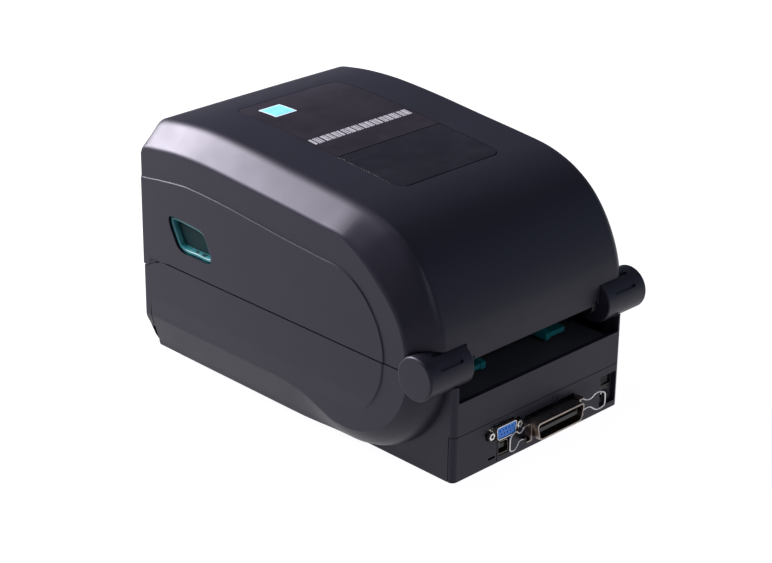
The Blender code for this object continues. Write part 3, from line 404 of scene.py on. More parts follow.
# ---- materials
class Shading:
    """Node tree of one material, with short calls for the textures that it layers."""

    def __init__(self, name, color, roughness, metallic=0.0, **sockets):
        self.material = bpy.data.materials.new(name)
        self.material.use_nodes = True
        self.tree = self.material.node_tree
        self.shader = self.tree.nodes["Principled BSDF"]
        self.shader.inputs["Base Color"].default_value = (*color, 1)
        self.shader.inputs["Roughness"].default_value = roughness
        self.shader.inputs["Metallic"].default_value = metallic
        for socket, value in sockets.items():
            self.shader.inputs[socket.replace("_", " ")].default_value = value

    def add(self, kind, **values):
        """Node with the values of its sockets and its own settings."""
        node = self.tree.nodes.new(kind)
        for key, value in values.items():
            if key in node.inputs:
                node.inputs[key].default_value = value
            else:
                setattr(node, key, value)
        return node

    def link(self, output, socket):
        self.tree.links.new(output, socket)

    def place(self, stretch):
        """Object coordinates, in metres, stretched along the axes."""
        source = self.add("ShaderNodeTexCoord")
        mapping = self.add("ShaderNodeMapping", Scale=stretch)
        self.link(source.outputs["Object"], mapping.inputs["Vector"])
        return mapping.outputs["Vector"]

    def noise(self, scale, detail=3.0, stretch=(1, 1, 1), rough=0.5):
        node = self.add("ShaderNodeTexNoise", Scale=scale, Detail=detail, Roughness=rough)
        self.link(self.place(stretch), node.inputs["Vector"])
        return node.outputs["Fac"]

    def cells(self, scale, stretch):
        node = self.add("ShaderNodeTexVoronoi", Scale=scale)
        self.link(self.place(stretch), node.inputs["Vector"])
        return node.outputs["Distance"]

    def spread(self, source, low, high, to_low=0.0, to_high=1.0):
        """Value range mapped to another, clamped."""
        node = self.add("ShaderNodeMapRange")
        for socket, value in (("From Min", low), ("From Max", high), ("To Min", to_low),
                              ("To Max", to_high)):
            node.inputs[socket].default_value = value
        self.link(source, node.inputs["Value"])
        return node.outputs["Result"]

    def drive(self, socket, output):
        self.link(output, self.shader.inputs[socket])

    def blend(self, factor, dark, light):
        """Colour between two, by a factor; each is a colour or the output of a node."""
        node = self.add("ShaderNodeMix", data_type="RGBA")
        sockets = [s for s in node.inputs if s.type == "RGBA"]
        for socket, tone in zip(sockets, (dark, light)):
            if isinstance(tone, tuple):
                socket.default_value = (*tone, 1)
            else:
                self.link(tone, socket)
        self.link(factor, node.inputs["Factor"])
        return [s for s in node.outputs if s.type == "RGBA"][0]

    def total(self, first, second, share):
        """first plus share of second."""
        node = self.add("ShaderNodeMath", operation="MULTIPLY_ADD")
        self.link(second, node.inputs[0])
        node.inputs[1].default_value = share
        self.link(first, node.inputs[2])
        return node.outputs[0]

    def bump(self, height, strength, depth):
        """Relief of a given depth, in millimetres."""
        node = self.add("ShaderNodeBump", Strength=strength, Distance=depth * MM)
        self.link(height, node.inputs["Height"])
        self.link(node.outputs["Normal"], self.shader.inputs["Normal"])


def moulded(name, dark, light, rough_low, rough_high, grain=2600, relief=0.03, worn=None,
            **sockets):
    """Moulded plastic: cloudy tone, fine spark-eroded grain, uneven gloss, light scuffs."""
    look = Shading(name, light, rough_high, **sockets)
    clouds = look.noise(14, 4.0)
    speckle = look.noise(grain / 3, 2.0)
    tone = look.spread(look.total(clouds, speckle, 0.25), 0.35, 0.85)
    color = look.blend(tone, dark, light)
    if worn:
        scuffs = look.spread(look.noise(420, 6.0, (1, 1, 0.25), 0.75), 0.66, 0.78, 0.0, 0.3)
        color = look.blend(scuffs, color, worn)
    look.drive("Base Color", color)
    gloss = look.spread(look.total(look.noise(45, 5.0), look.noise(900, 2.0), 0.35), 0.4, 0.95,
                        rough_low, rough_high)
    look.drive("Roughness", gloss)
    look.bump(look.noise(grain, 2.0), 0.35, relief)
    return look.material


def brushed(name, dark, light, rough_low, rough_high, stretch=(1, 1, 1), scale=900, relief=0.01):
    """Drawn or rolled metal: fine lines, uneven polish, faint stains."""
    look = Shading(name, light, rough_high, 1.0)
    lines = look.noise(scale, 3.0, stretch)
    stains = look.noise(70, 4.0)
    look.drive("Base Color", look.blend(look.spread(stains, 0.35, 0.65), dark, light))
    look.drive("Roughness", look.spread(look.total(lines, stains, 0.5), 0.5, 1.0, rough_low,
                                        rough_high))
    look.bump(lines, 0.25, relief)
    return look.material


def gloss_black(name, color, smear, roughness, **sockets):
    """Glossy dark plastic with finger smears and hair-fine scratches."""
    look = Shading(name, color, roughness, **sockets)
    smears = look.noise(38, 5.0, (1, 1.7, 1), rough=0.62)
    scratches = look.noise(700, 2.0, (1, 0.03, 1))
    haze = look.total(smears, scratches, 0.3)
    look.drive("Roughness", look.spread(haze, 0.45, 0.9, roughness, roughness + smear))
    lighter = tuple(c * 1.5 + 0.002 for c in color)
    look.drive("Base Color", look.blend(look.spread(smears, 0.4, 0.7), color, lighter))
    look.bump(look.noise(500, 1.0), 0.06, 0.01)
    return look.material


def circuit(name):
    """Solder mask over raised copper tracks."""
    look = Shading(name, (0.01, 0.08, 0.035), 0.35)
    tracks = look.spread(look.cells(160, (1, 0.35, 1)), 0.16, 0.2)
    look.drive("Base Color", look.blend(tracks, (0.03, 0.19, 0.08), (0.008, 0.07, 0.03)))
    look.drive("Roughness", look.spread(look.noise(300), 0.3, 0.7, 0.25, 0.5))
    look.bump(tracks, 0.4, 0.03)
    return look.material


def printed(name, color, roughness):
    """Screen-printed ink, slightly uneven."""
    look = Shading(name, color, roughness)
    wear = look.noise(420, 4.0, rough=0.65)
    darker = tuple(c * 0.86 for c in color)
    look.drive("Base Color", look.blend(look.spread(wear, 0.35, 0.6), darker, color))
    look.drive("Roughness", look.spread(wear, 0.3, 0.7, roughness - 0.06, roughness + 0.12))
    look.bump(wear, 0.1, 0.01)
    return look.material


def plastic_looks():
    return {
        "housing": moulded("charcoal_plastic", (0.0070, 0.0066, 0.0110), (0.0090, 0.0085, 0.0140),
                           0.39, 0.46, worn=(0.03, 0.03, 0.04), Specular_IOR_Level=0.23,
                           Specular_Tint=(0.85, 0.80, 1.0, 1)),
        "liner": moulded("inner_plastic", (0.020, 0.020, 0.024), (0.028, 0.028, 0.034),
                         0.45, 0.6, grain=1800, relief=0.05),
        "gloss": gloss_black("overlay_gloss", (0.009, 0.006, 0.009), 0.10, 0.16,
                             Specular_IOR_Level=0.22),
        "window": gloss_black("smoked_plastic", (0.004, 0.0035, 0.006), 0.08, 0.12,
                              Specular_IOR_Level=0.2),
        "teal": moulded("teal_plastic", (0.002, 0.075, 0.085), (0.004, 0.105, 0.118), 0.3, 0.44,
                        grain=2200, relief=0.02, worn=(0.03, 0.2, 0.22),
                        Specular_IOR_Level=0.35),
        # Painted shade: a darker copy of the teal, painted over the inside of the finger pulls in
        # place of the shade that falls in the recess.
        "teal_painted_shade": moulded("teal_recess_painted_shade", (0.0003, 0.010, 0.012), (0.0005, 0.015, 0.017), 0.5,
                             0.6, grain=2200, relief=0.02, Specular_IOR_Level=0.1),
        "rubber": moulded("black_rubber", (0.012, 0.012, 0.012), (0.022, 0.022, 0.022),
                          0.7, 0.9, grain=1200, relief=0.06),
        "gear": moulded("gear_nylon", (0.50, 0.485, 0.44), (0.64, 0.625, 0.58), 0.38, 0.52,
                        grain=1500, relief=0.02, Subsurface_Weight=0.15,
                        Subsurface_Scale=0.002),
        "socket": moulded("socket_black", (0.006, 0.006, 0.007), (0.012, 0.012, 0.014),
                          0.4, 0.58, grain=3200, relief=0.02),
        "blue": moulded("connector_blue", (0.008, 0.130, 0.50), (0.014, 0.180, 0.62),
                        0.36, 0.48, grain=3000, relief=0.01),
        "lens": moulded("lens_green", (0.05, 0.30, 0.10), (0.08, 0.42, 0.15), 0.15, 0.25,
                        grain=2000, relief=0.01, Transmission_Weight=0.35),
    }


def metal_looks():
    return {
        "black_steel": brushed("blackened_steel", (0.03, 0.03, 0.032), (0.05, 0.05, 0.052),
                               0.3, 0.45, (0.06, 1, 1)),
        "shell": brushed("tinned_shell", (0.20, 0.165, 0.145), (0.34, 0.29, 0.26), 0.22, 0.38,
                         (1, 0.2, 1), 600),
        "steel": brushed("zinc_steel", (0.40, 0.40, 0.41), (0.56, 0.56, 0.57), 0.26, 0.42,
                         (0.06, 1, 1)),
        "chrome": brushed("nickel_plate", (0.60, 0.57, 0.53), (0.80, 0.78, 0.75), 0.14, 0.3,
                          (1, 0.15, 1), 600),
        "ground": brushed("ground_steel", (0.52, 0.52, 0.53), (0.66, 0.66, 0.67), 0.12, 0.26,
                          (0.04, 1, 1), 1400),
        "aluminium": brushed("extruded_aluminium", (0.55, 0.55, 0.56), (0.70, 0.70, 0.71),
                             0.32, 0.48, (0.05, 1, 1), 800),
        "gold": brushed("contact_gold", (0.62, 0.42, 0.15), (0.82, 0.60, 0.26), 0.2, 0.35),
    }


def other_looks():
    return {
        "board": circuit("solder_mask"),
        "ceramic": moulded("head_ceramic", (0.66, 0.63, 0.56), (0.78, 0.76, 0.70), 0.2, 0.34,
                           grain=4000, relief=0.005),
        "ink": printed("grey_ink", (0.30, 0.29, 0.32), 0.5),
        "sticker": printed("pale_blue_film", (0.16, 0.50, 0.66), 0.42),
        "paper": printed("white_film", (0.50, 0.62, 0.68), 0.45),
    }


# Every material, by the name that install and dress_nodes use.
LOOKS = {**plastic_looks(), **metal_looks(), **other_looks()}


# ---- hood
def front_at(x):
    """y of the front face at a station across the printer, round the vertical corners."""
    past = abs(x) - (HALF_WIDTH - CORNER_R)
    if past <= 0:
        return FRONT_Y
    return FRONT_Y + CORNER_R - (CORNER_R ** 2 - min(past, CORNER_R) ** 2) ** 0.5


def stations():
    """Stations across the whole width, closer together round the corners."""
    corner = [HALF_WIDTH - CORNER_R + CORNER_R * sin(radians(9 * i)) for i in range(10, -1, -1)]
    crest = [CREST_HALF + CREST_ROUND * i / 4 for i in range(4, -5, -1)]
    half = corner + [88.5] + crest + [68.0, 60.0, 50.0, 38.0, 25.0, 12.0]
    return half + [0.0] + [-x for x in reversed(half)]


def chamfer_share(x):
    """How far a station lies down the chamfer, with a rounded crest; 1 at the side face."""
    past = abs(x) - CREST_HALF
    if abs(past) < CREST_ROUND:
        return (past + CREST_ROUND) ** 2 / (4 * CREST_ROUND) / (HALF_WIDTH - CREST_HALF)
    return max(0.0, past) / (HALF_WIDTH - CREST_HALF)


def crown_at(x, z):
    """Rise of the roof towards its middle, dying away down the front and the rear."""
    rise = CROWN * (1 - min(1.0, abs(x) / CREST_HALF) ** 2)
    return rise * min(1.0, max(0.0, (z - 150) / 15))


def hood_row(x, roof, shoulder, per):
    """Open outline of the hood at a station, from the front rim over the roof to the rear."""
    share = chamfer_share(x)
    lead = front_at(x) - (roof[0][0] + (shoulder[0][0] - roof[0][0]) * share)
    turn = max(0.0, (abs(x) - HALF_WIDTH + SHOULDER_R) / SHOULDER_R)
    fall = SHOULDER_R * (1 - (1 - turn ** 2) ** 0.5)
    line = [(ya + (yb - ya) * share, za + (zb - za) * share + crown_at(x, za))
            for (ya, za), (yb, zb) in zip(roof, shoulder)]
    row = [(x, front_at(x), height_on(SPLIT, front_at(x)) + RIM_GAP)]
    for i, ((y, z), (low_y, low_z)) in enumerate(zip(line, inset_line(line, fall))):
        pull = max(0.0, 1 - i / (3 * per)) ** 2
        place = y + (low_y - y) * (1 - pull) + lead * pull
        row.append((x, max(FRONT_Y, place), z + (low_z - z) * (1 - pull)))
    return row


def hood_skin():
    """Wall of the hood, before its panels are joined and its openings cut."""
    per = 5
    roof, shoulder = flowing(ROOF, per), flowing(SHOULDER, per)
    bm = bmesh.new()
    made = sheet(bm, [hood_row(x, roof, shoulder, per) for x in stations()])
    for row, sign in ((made[0], 1), (made[-1], -1)):
        rim = [bm.verts.new(Vector((sign * HALF_WIDTH, y, z + RIM_GAP)) * MM)
               for y, z in reversed(SPLIT[1:])]
        bm.faces.new(row + rim)
    bmesh.ops.recalc_face_normals(bm, faces=bm.faces)
    bm.normal_update()
    bm.faces.ensure_lookup_table()
    if bm.faces[0].normal.y > 0:
        bmesh.ops.reverse_faces(bm, faces=bm.faces)
    return thicken(from_bmesh("hood", bm), SKIN, -1)


def cheek_plan(sign):
    """Plan of a raised cheek panel, which dies away round the front corner."""
    centre, far = HALF_WIDTH - CORNER_R, 200
    outer = [(centre + (CORNER_R + PROUD) * cos(radians(a)), FRONT_Y + CORNER_R
              - CORNER_R * sin(radians(a))) for a in range(0, 91, 10)]
    plan = [(HALF_WIDTH + PROUD, far)] + outer + [(centre, FRONT_Y + 1.2)]
    plan += [(centre + (CORNER_R - 1.2) * sin(radians(a)), FRONT_Y + CORNER_R
              - (CORNER_R - 1.2) * cos(radians(a))) for a in range(15, 91, 15)]
    plan += [(HALF_WIDTH - 1.2, far)]
    return prism("cheek_plan", [[(sign * x, y) for x, y in plan]], 20, 140, "Z")


def hood_cheek(sign):
    """Raised panel on a side of the hood, with a sloping ledge along its upper edge."""
    line = flowing(STEP, 4)
    rim = [(y, z + RIM_GAP) for y, z in reversed(SPLIT[1:])]
    rim += [(-150, height_on(SPLIT, FRONT_Y) + RIM_GAP)]

    def section(x, inset):
        edge = inset_line(line, inset)
        edge[-1] = (line[-1][0] - inset, HOOD_RIM)
        return [(sign * x, y, z) for y, z in edge + rim]

    panel = skin("cheek_" + sided(sign), [section(HALF_WIDTH - 9, 0), section(HALF_WIDTH, 0),
                                          section(HALF_WIDTH + PROUD, PROUD * 0.55),
                                          section(HALF_WIDTH + PROUD + 1, PROUD * 0.55)])
    return settle(keep(panel, cheek_plan(sign)))


def latch_line(grow):
    """Outline of the finger opening, grown outwards by a distance."""
    return inset_line(closed_flow(LATCH, 4), -grow, True)


def latch_pocket(sign):
    """Thinned inner wall that the flange of a finger pull moves in."""
    return prism("latch_pocket_" + sided(sign), [latch_line(8.0)],
                 *side_span(sign, 80, HALF_WIDTH - 0.5), "X")


def knuckle_room(name, sign, grow):
    """Room round a hinge knuckle, with a clearance."""
    low, high = side_span(sign, KNUCKLE_IN - 1, KNUCKLE_OUT + 1)
    return rod(name, KNUCKLE_R + grow, low, high, "X", (0, HINGE_Y, HINGE_Z), 64)


def make_hood():
    """Hood with panel recess, latch openings, control holes and hinge notches."""
    hood = hood_skin()
    for sign in (-1, 1):
        side = sided(sign)
        join(hood, hood_cheek(sign))
        opening = side_span(sign, HALF_WIDTH - 4, HALF_WIDTH + 4)
        arm = side_span(sign, ARM_X - ARM_HALF, ARM_X + ARM_HALF)
        cut(hood, prism("latch_opening_" + side, [latch_line(0.0)], *opening, "X"),
            latch_pocket(sign), knuckle_room("hood_notch_" + side, sign, 0.5),
            rod("arm_notch_" + side, ARM_NOTCH_R, *arm, "X", (0, HINGE_Y, HINGE_Z)))
    window = rounded_rect(0, (TOP_JOINT + TOP_REAR) / 2, TOP_HALF - 4,
                          (TOP_REAR - TOP_JOINT) / 2 - 4, 5)
    cut(hood, top_form("panel_recess", TOP_FRONT - 0.35, TOP_REAR + 0.9, TOP_HALF + 0.45,
                       8.3, 8.5, 6.0, -1.7, 0.0),
        prism("window_opening", [window], 140, 190, "Z"),
        rod("button_hole", BUTTON_R + 0.35, -145, -126, "Y", (BUTTON_X, 0, BUTTON_Z), 48),
        block("lens_hole", (LENS_X - 5.3, -145, BUTTON_Z - 2.3),
              (LENS_X + 5.3, -130, BUTTON_Z + 2.3)),
        block("exit_opening", (-EXIT_HALF, -150, 55), (EXIT_HALF, -128, EXIT_Z1), 1.0, "Y"))
    for sign in (-1, 1):
        join(hood, rod("latch_boss_" + sided(sign), 2.0, *side_span(sign, 81, 95), "X",
                       (0, LATCH_Y, LATCH_Z), 24))
    install(hood, "cover", "housing", "housing", "cover_shell", sharp=24)


# ---- top panel
ROOF_LINE = [(y, z) for y, z in flowing(ROOF, 5) if -130 < y < 70]


def roof_z(x, y):
    """Height of the roof skin over a point of the plan."""
    z = height_on(ROOF_LINE, y)
    return z + crown_at(x, z)


def half_at(y, front, rear, half, front_r, rear_r):
    """Half width of a plan with rounded corners at a station along it."""
    for gap, radius in ((y - front, front_r), (rear - y, rear_r)):
        if radius and gap < radius:
            return half - radius + max(0.0, radius ** 2 - (radius - gap) ** 2) ** 0.5
    return half


def top_form(name, front, rear, half, front_r, rear_r, high, low, round_edge, centre=0.0):
    """Plate that follows the roof between two heights about it, with rounded plan corners
    and a rounded upper edge."""
    ends = [0.0, 0.12, 0.3, 0.6, 1.2, 2.2, 3.6, 5.4, 7.0]
    inner = [front + 9 + (rear - front - 18) * i / 24 for i in range(25)]
    ys = [front + e for e in ends] + inner + [rear - e for e in reversed(ends)]
    if rear - front < 22:
        ys = [front, front + 0.12, front + 0.3] + [
            front + 0.6 + (rear - front - 1.2) * i / 6 for i in range(7)] + [
            rear - 0.3, rear - 0.12, rear]
    columns = 14
    upper, lower = [], []
    for y in ys:
        reach = half_at(y, front, rear, half, front_r, rear_r)
        drops = [(reach, round_edge), (reach - 0.12, round_edge * 0.45),
                 (reach - 0.3, round_edge * 0.12)]
        inside = [(reach - 0.6) * (1 - 2 * i / columns) for i in range(columns + 1)]
        xs = drops + [(x, 0.0) for x in inside] + [(-x, d) for x, d in reversed(drops)]
        end = min(y - front, rear - y)
        fall = round_edge * max(0.0, 1 - end / 0.35) ** 1.5
        upper.append([(centre + x, y, roof_z(x + centre, y) + high - max(d, fall))
                      for x, d in xs])
        lower.append([(centre + x, y, roof_z(x + centre, y) + low) for x, d in xs])
    rows = [top + list(reversed(base)) for top, base in zip(upper, lower)]
    return skin(name, rows)


def make_top_panel():
    """Gloss overlay, smoked window, and the plain marks printed on the overlay."""
    overlay = top_form("control_overlay", TOP_FRONT, TOP_JOINT, TOP_HALF, 8.0, 0, -0.1, -1.3,
                       0.0)
    install(overlay, "cover", "gloss", "gloss_panel", "top_overlay")
    window = top_form("media_window", TOP_JOINT + 0.45, TOP_REAR, TOP_HALF, 0, 8.0, -0.1,
                      -1.3, 0.35)
    install(window, "cover", "window", "smoked_window", "window")
    install(stripe_band(), "cover", "ink", "gloss_panel")
    border = top_form("tint_border", -93.3, -76.0, 9.1, 0.4, 0.4, 0.0, -0.3, 0.0, 25.0)
    install(border, "cover", "paper", "gloss_panel")
    tint = top_form("tint_square", -92.2, -77.1, 8.0, 0.2, 0.2, 0.05, -0.3, 0.0, 25.0)
    install(tint, "cover", "sticker", "gloss_panel")


def stripe_band():
    """Row of plain stripes of mixed widths across the overlay."""
    widths = [1.9, 0.8, 1.2, 0.9, 2.2, 0.9, 1.5, 0.8, 1.7, 1.1]
    gaps = [1.5, 0.7, 1.0, 1.9, 0.8, 1.2, 0.7]
    bm = bmesh.new()
    x, k = TOP_HALF - 1.0, 0
    while x > 3 - TOP_HALF:
        width = widths[k % len(widths)]
        sheet(bm, [[(cx, cy, roof_z(cx, cy) - 0.02) for cx in (x, x - width / 2, x - width)]
                   for cy in (-35.2, -33.2, -31.2, -29.2, -27.6)])
        x -= width + gaps[k % len(gaps)]
        k += 1
    return thicken(from_bmesh("stripe_band", bm), 0.3, 0)


# ---- base
def base_low(x):
    """Lowest z of the base at a station across it, ahead of the rear arc."""
    reach = abs(x)
    if reach >= 90.8:
        return CREASE_Z - 3.5 * (HALF_WIDTH - reach)
    if reach >= 89.2:
        return 8.9 - 0.3 * (90.8 - reach)
    return 6.0 + 0.2 * max(0.0, reach - 80)


def rear_radius(x):
    """Radius of the rear arc, which rounds over from the side face to the crest."""
    return height_on([(0, 68.5), (77, 68.5), (80, 68.2), (84, 67.2), (88, 65.2), (91, 62.8),
                      (93.5, 60.0), (95.5, 57.2), (97, 54.0)], abs(x))


def eased(t):
    t = min(1.0, max(0.0, t))
    return t * t * (3 - 2 * t)


def base_section(x, inset, front, top_extra):
    """Closed (y, z) outline of the base at a station across it."""
    radius = rear_radius(x) - inset
    low = base_low(x) + inset
    arc_low = CHEEK_Z - radius
    points = [(front, height_on(SPLIT, front) + top_extra)]
    for y in (front, -90, -50, -20, 0, 12, 22, 30, 37, 43, 48):
        points.append((y, low + (arc_low - low) * eased((y - 5) / (CHEEK_Y - 5))))
    points += arc(CHEEK_Y, CHEEK_Z, radius, -90, 0, 28)
    points.append((CHEEK_Y + radius, BASE_RIM + top_extra))
    points += [(y, z + top_extra) for y, z in reversed(SPLIT[2:])]
    return [(x, y, z) for y, z in points]


def base_form(name, inset=0.0, front=SEAM_Y + 0.35, top_extra=0.0):
    half = [97, 96, 95, 94, 93, 92, 91.2, 90.6, 90, 89.2, 88, 86, 84, 82, 80, 77, 40]
    reach = [x - inset for x in half]
    rows = [base_section(x, inset, front, top_extra) for x in reach]
    rows += [base_section(-x, inset, front, top_extra) for x in reversed(reach)]
    return skin(name, rows)


def base_cheek(sign):
    """Raised panel on a side of the base, dying away at the crease and towards the rear."""
    line = sorted(((z, y) for y, z in flowing(STEP_LOW, 4)))
    rows = []
    for i in range(25):
        z = CREASE_Z + 0.6 + (BASE_RIM - CREASE_Z - 0.6) * i / 24
        edge = height_on(line, z)
        out = HALF_WIDTH + PROUD * eased((z - CREASE_Z) / 16)
        plan = [(HALF_WIDTH - 1.5, SEAM_Y + 0.35), (out, SEAM_Y + 0.35), (out, -60), (out, 0),
                (out, edge - 1.6), (HALF_WIDTH - 0.1, edge), (HALF_WIDTH - 1.5, edge)]
        rows.append([(sign * x, y, z) for x, y in plan])
    return skin("base_cheek_" + sided(sign), rows)


def rear_box(name, low_y, low_z, high_z):
    """Connector box at the rear, with rounded vertical corners."""
    half, rear, radius = REAR_HALF, REAR_Y, 3.6
    plan = [(half, low_y)] + arc(half - radius, rear - radius, radius, 0, 90, 8)
    plan += arc(radius - half, rear - radius, radius, 90, 180, 8) + [(-half, low_y)]
    return prism(name, [plan], low_z, high_z, "Z")


def on_crease(p):
    return abs(abs(p.x) - HALF_WIDTH) < 0.01 and abs(p.z - CREASE_Z) < 0.02 and p.y < 20


def make_base():
    """Cheeks and upper rear box, with the parting lip behind the seam of the hood."""
    base = base_form("base")
    round_edges(base, 0.9, on_crease)
    join(base, rear_box("rear_box_form", 40, REAR_BOTTOM, POST_Z))
    for sign in (-1, 1):
        join(base, base_cheek(sign))
    half, rear = REAR_HALF - WALL, REAR_Y - WALL
    cut(base, base_form("base_hollow", WALL, SEAM_Y - 4, 8.0),
        block("rear_hollow", (-half, 20, -5), (half, rear, 90)),
        block("bottom_opening", (-half, -126, -5), (half, 60, 20)),
        block("fanfold_cut", (-73.7, 100, LIP_Z), (73.7, 140, 90), 0.8, "Y"),
        block("panel_cut", (-90, 123.55, -10), (90, 140, PANEL_Z + 0.45)),
        knuckle_room("seat_right", 1, 0.35), knuckle_room("seat_left", -1, 0.35))
    for sign in (-1, 1):
        low, high = side_span(sign, 92.7, 93.9)
        join(base, block("seam_lip_" + sided(sign), (low, -108, 66), (high, 88, 77.6), 0.4))
    install(base, "root", "housing", "housing", "base_housing", sharp=24)


def bezel_row(x, back):
    """Closed outline of the front bezel at a station across it."""
    face, low = front_at(x), base_low(x)
    lean = 3.5 * (CREASE_Z - low) / (CREASE_Z - 6)
    rise = CREASE_Z - low
    points = [(back, height_on(SPLIT, back)), (face, height_on(SPLIT, face) - 0.2), (face, 50),
              (face, CREASE_Z + 0.2), (face + lean * 0.35, low + rise * 0.6),
              (face + lean * 0.75, low + rise * 0.18), (min(back, face + lean + 1.2), low),
              (back, low)]
    return [(x, y, z) for y, z in points]


def make_bezel():
    """Front bezel, with the lower edge of the label exit."""
    back = SEAM_Y - 0.35
    rows = [bezel_row(x, back) for x in stations()]
    bezel = skin("bezel", rows)
    half = HALF_WIDTH - WALL
    cut(bezel, block("bezel_hollow", (-half, FRONT_Y + WALL, 10), (half, -120, EXIT_Z0 - 3)),
        block("bezel_exit", (-EXIT_HALF, -150, EXIT_Z0 - 1.0), (EXIT_HALF, -120, 90), 1.0, "Y"))
    install(bezel, "root", "housing", "housing", "front_bezel", sharp=24)


def knuckle_slot(name, sign, start, end, angle, width):
    """Cutter for a moulded slot along a knuckle, at an angle round it."""
    slot = block(name, (start, -width / 2, -1.4), (end, width / 2, 3), 1.0, "Z", 4)
    spot = Vector((0, HINGE_Y + KNUCKLE_R * cos(radians(angle)),
                   HINGE_Z + KNUCKLE_R * sin(radians(angle))))
    slot.data.transform(Matrix.Rotation(radians(angle - 90), 4, "X"))
    slot.data.transform(Matrix.Translation(spot * MM))
    if sign < 0:
        slot.data.transform(Matrix.Scale(-1, 4, (1, 0, 0)))
        slot.data.flip_normals()
    return slot


def make_knuckles():
    """Fixed hinge knuckles, with a filleted end and two moulded slots."""
    length, fillet_r = KNUCKLE_OUT - KNUCKLE_IN, 1.6
    fillet = [(KNUCKLE_R - fillet_r + fillet_r * sin(t), length - fillet_r + fillet_r * cos(t))
              for t in (radians(15 * i) for i in range(7))]
    profile = [(0, length)] + fillet + [(KNUCKLE_R, 0.6), (KNUCKLE_R - 0.6, 0), (3.4, 0),
                                        (3.4, 18.5), (0, 18.5)]
    for sign in (-1, 1):
        side = sided(sign)
        knuckle = turned("knuckle_" + side, profile, "X", (sign * KNUCKLE_IN, HINGE_Y, HINGE_Z),
                         72, flip=sign < 0)
        cut(knuckle, knuckle_slot("knuckle_slot_%s_0" % side, sign, 70, 89.5, 31, 2.3),
            knuckle_slot("knuckle_slot_%s_1" % side, sign, 81.5, 89, 72, 2.6))
        install(knuckle, "root", "housing", "housing", "hinge_knuckle_" + side)


# ---- rear panel and connectors
SERIAL_X, SERIAL_Z, JACKSCREW_PITCH = 33.2, 23.8, 25.0
PIN_PITCH, PIN_ROW_Z = 2.77, 1.42
PARALLEL_X, PARALLEL_Z, PARALLEL_HALF_W, PARALLEL_HALF_H = -9.3, 17.0, 22.5, 6.3
CONTACTS, CONTACT_PITCH = 18, 2.16
BAIL_OUT, BAIL_Y = 25.4, 131.6
USB_X, USB_Z = 32.0, 11.4
POWER_X0, POWER_X1, POWER_Z0, POWER_Z1 = -74.0, -58.6, 6.0, 27.2
JACK_X, JACK_Z, SWITCH_X, SWITCH_Z = -66.3, 11.4, -66.3, 21.8


def port_cut(name, x0, x1, z0, z1, corner):
    """Cutter for an opening through the connector panel."""
    return block(name, (x0, 120, z0), (x1, 131, z1), corner, "Y")


def make_rear_panel():
    """Connector panel with its openings, a fine groove and a plain moulded mark."""
    panel = rear_box("connector_panel", 124.05, REAR_BOTTOM, PANEL_Z)
    x, z = SERIAL_X, SERIAL_Z
    cut(panel, port_cut("serial_cut", x - 9.9, x + 9.9, z - 5.4, z + 5.4, 1.2),
        rod("post_cut_1", 4.0, 120, 131, "Y", (x - JACKSCREW_PITCH / 2, 0, z)),
        rod("post_cut_2", 4.0, 120, 131, "Y", (x + JACKSCREW_PITCH / 2, 0, z)),
        port_cut("parallel_cut", PARALLEL_X - 24.0, PARALLEL_X + 23.0, PARALLEL_Z - 6.7,
                 PARALLEL_Z + 8.4, 0.8),
        port_cut("usb_cut", USB_X - 4.9, USB_X + 4.9, USB_Z - 5.3, USB_Z + 5.1, 0.5),
        port_cut("lock_cut", 39.8, 46.2, 6.3, 8.0, 0.7),
        port_cut("power_cut", POWER_X0, POWER_X1, POWER_Z0, POWER_Z1, 0.8),
        block("side_groove", (USB_X + 5.9, REAR_Y - 0.5, 3), (USB_X + 6.5, 131, 17.5)))
    ring = prism("mark_ring", [rounded_rect(-15, 27, 2.4, 2.8, 1.0),
                               rounded_rect(-15, 27, 1.9, 2.3, 0.6)], REAR_Y - 0.4,
                 REAR_Y + 0.25, "Y")
    join(panel, ring)
    soften(panel, 0.35, 50)
    install(panel, "root", "housing", "housing", "rear_panel")


def d_shape(x, z, half_w, half_h, lean, corner):
    """Outline of a D connector: wide side up, rounded corners."""
    corners = [(half_w, half_h), (-half_w, half_h), (-half_w + lean, -half_h),
               (half_w - lean, -half_h)]
    line = []
    for i, corner_point in enumerate(corners):
        p = Vector(corner_point)
        before, after = Vector(corners[i - 1]), Vector(corners[(i + 1) % 4])
        a = p + (before - p).normalized() * corner
        b = p + (after - p).normalized() * corner
        for k in range(5):
            t = k / 4
            q = a * (1 - t) ** 2 + p * 2 * t * (1 - t) + b * t ** 2
            line.append((x + q.x, z + q.y))
    return line


def contact_strips(name, places, size):
    """Small gilt strips, each centred on its place."""
    bm = bmesh.new()
    for place in places:
        matrix = Matrix.Translation(Vector(place) * MM) @ Matrix.Diagonal((*(Vector(size) * MM), 1))
        bmesh.ops.create_cube(bm, size=1.0, matrix=matrix)
    install(closed_piece(name, bm), "root", "gold", "chrome")


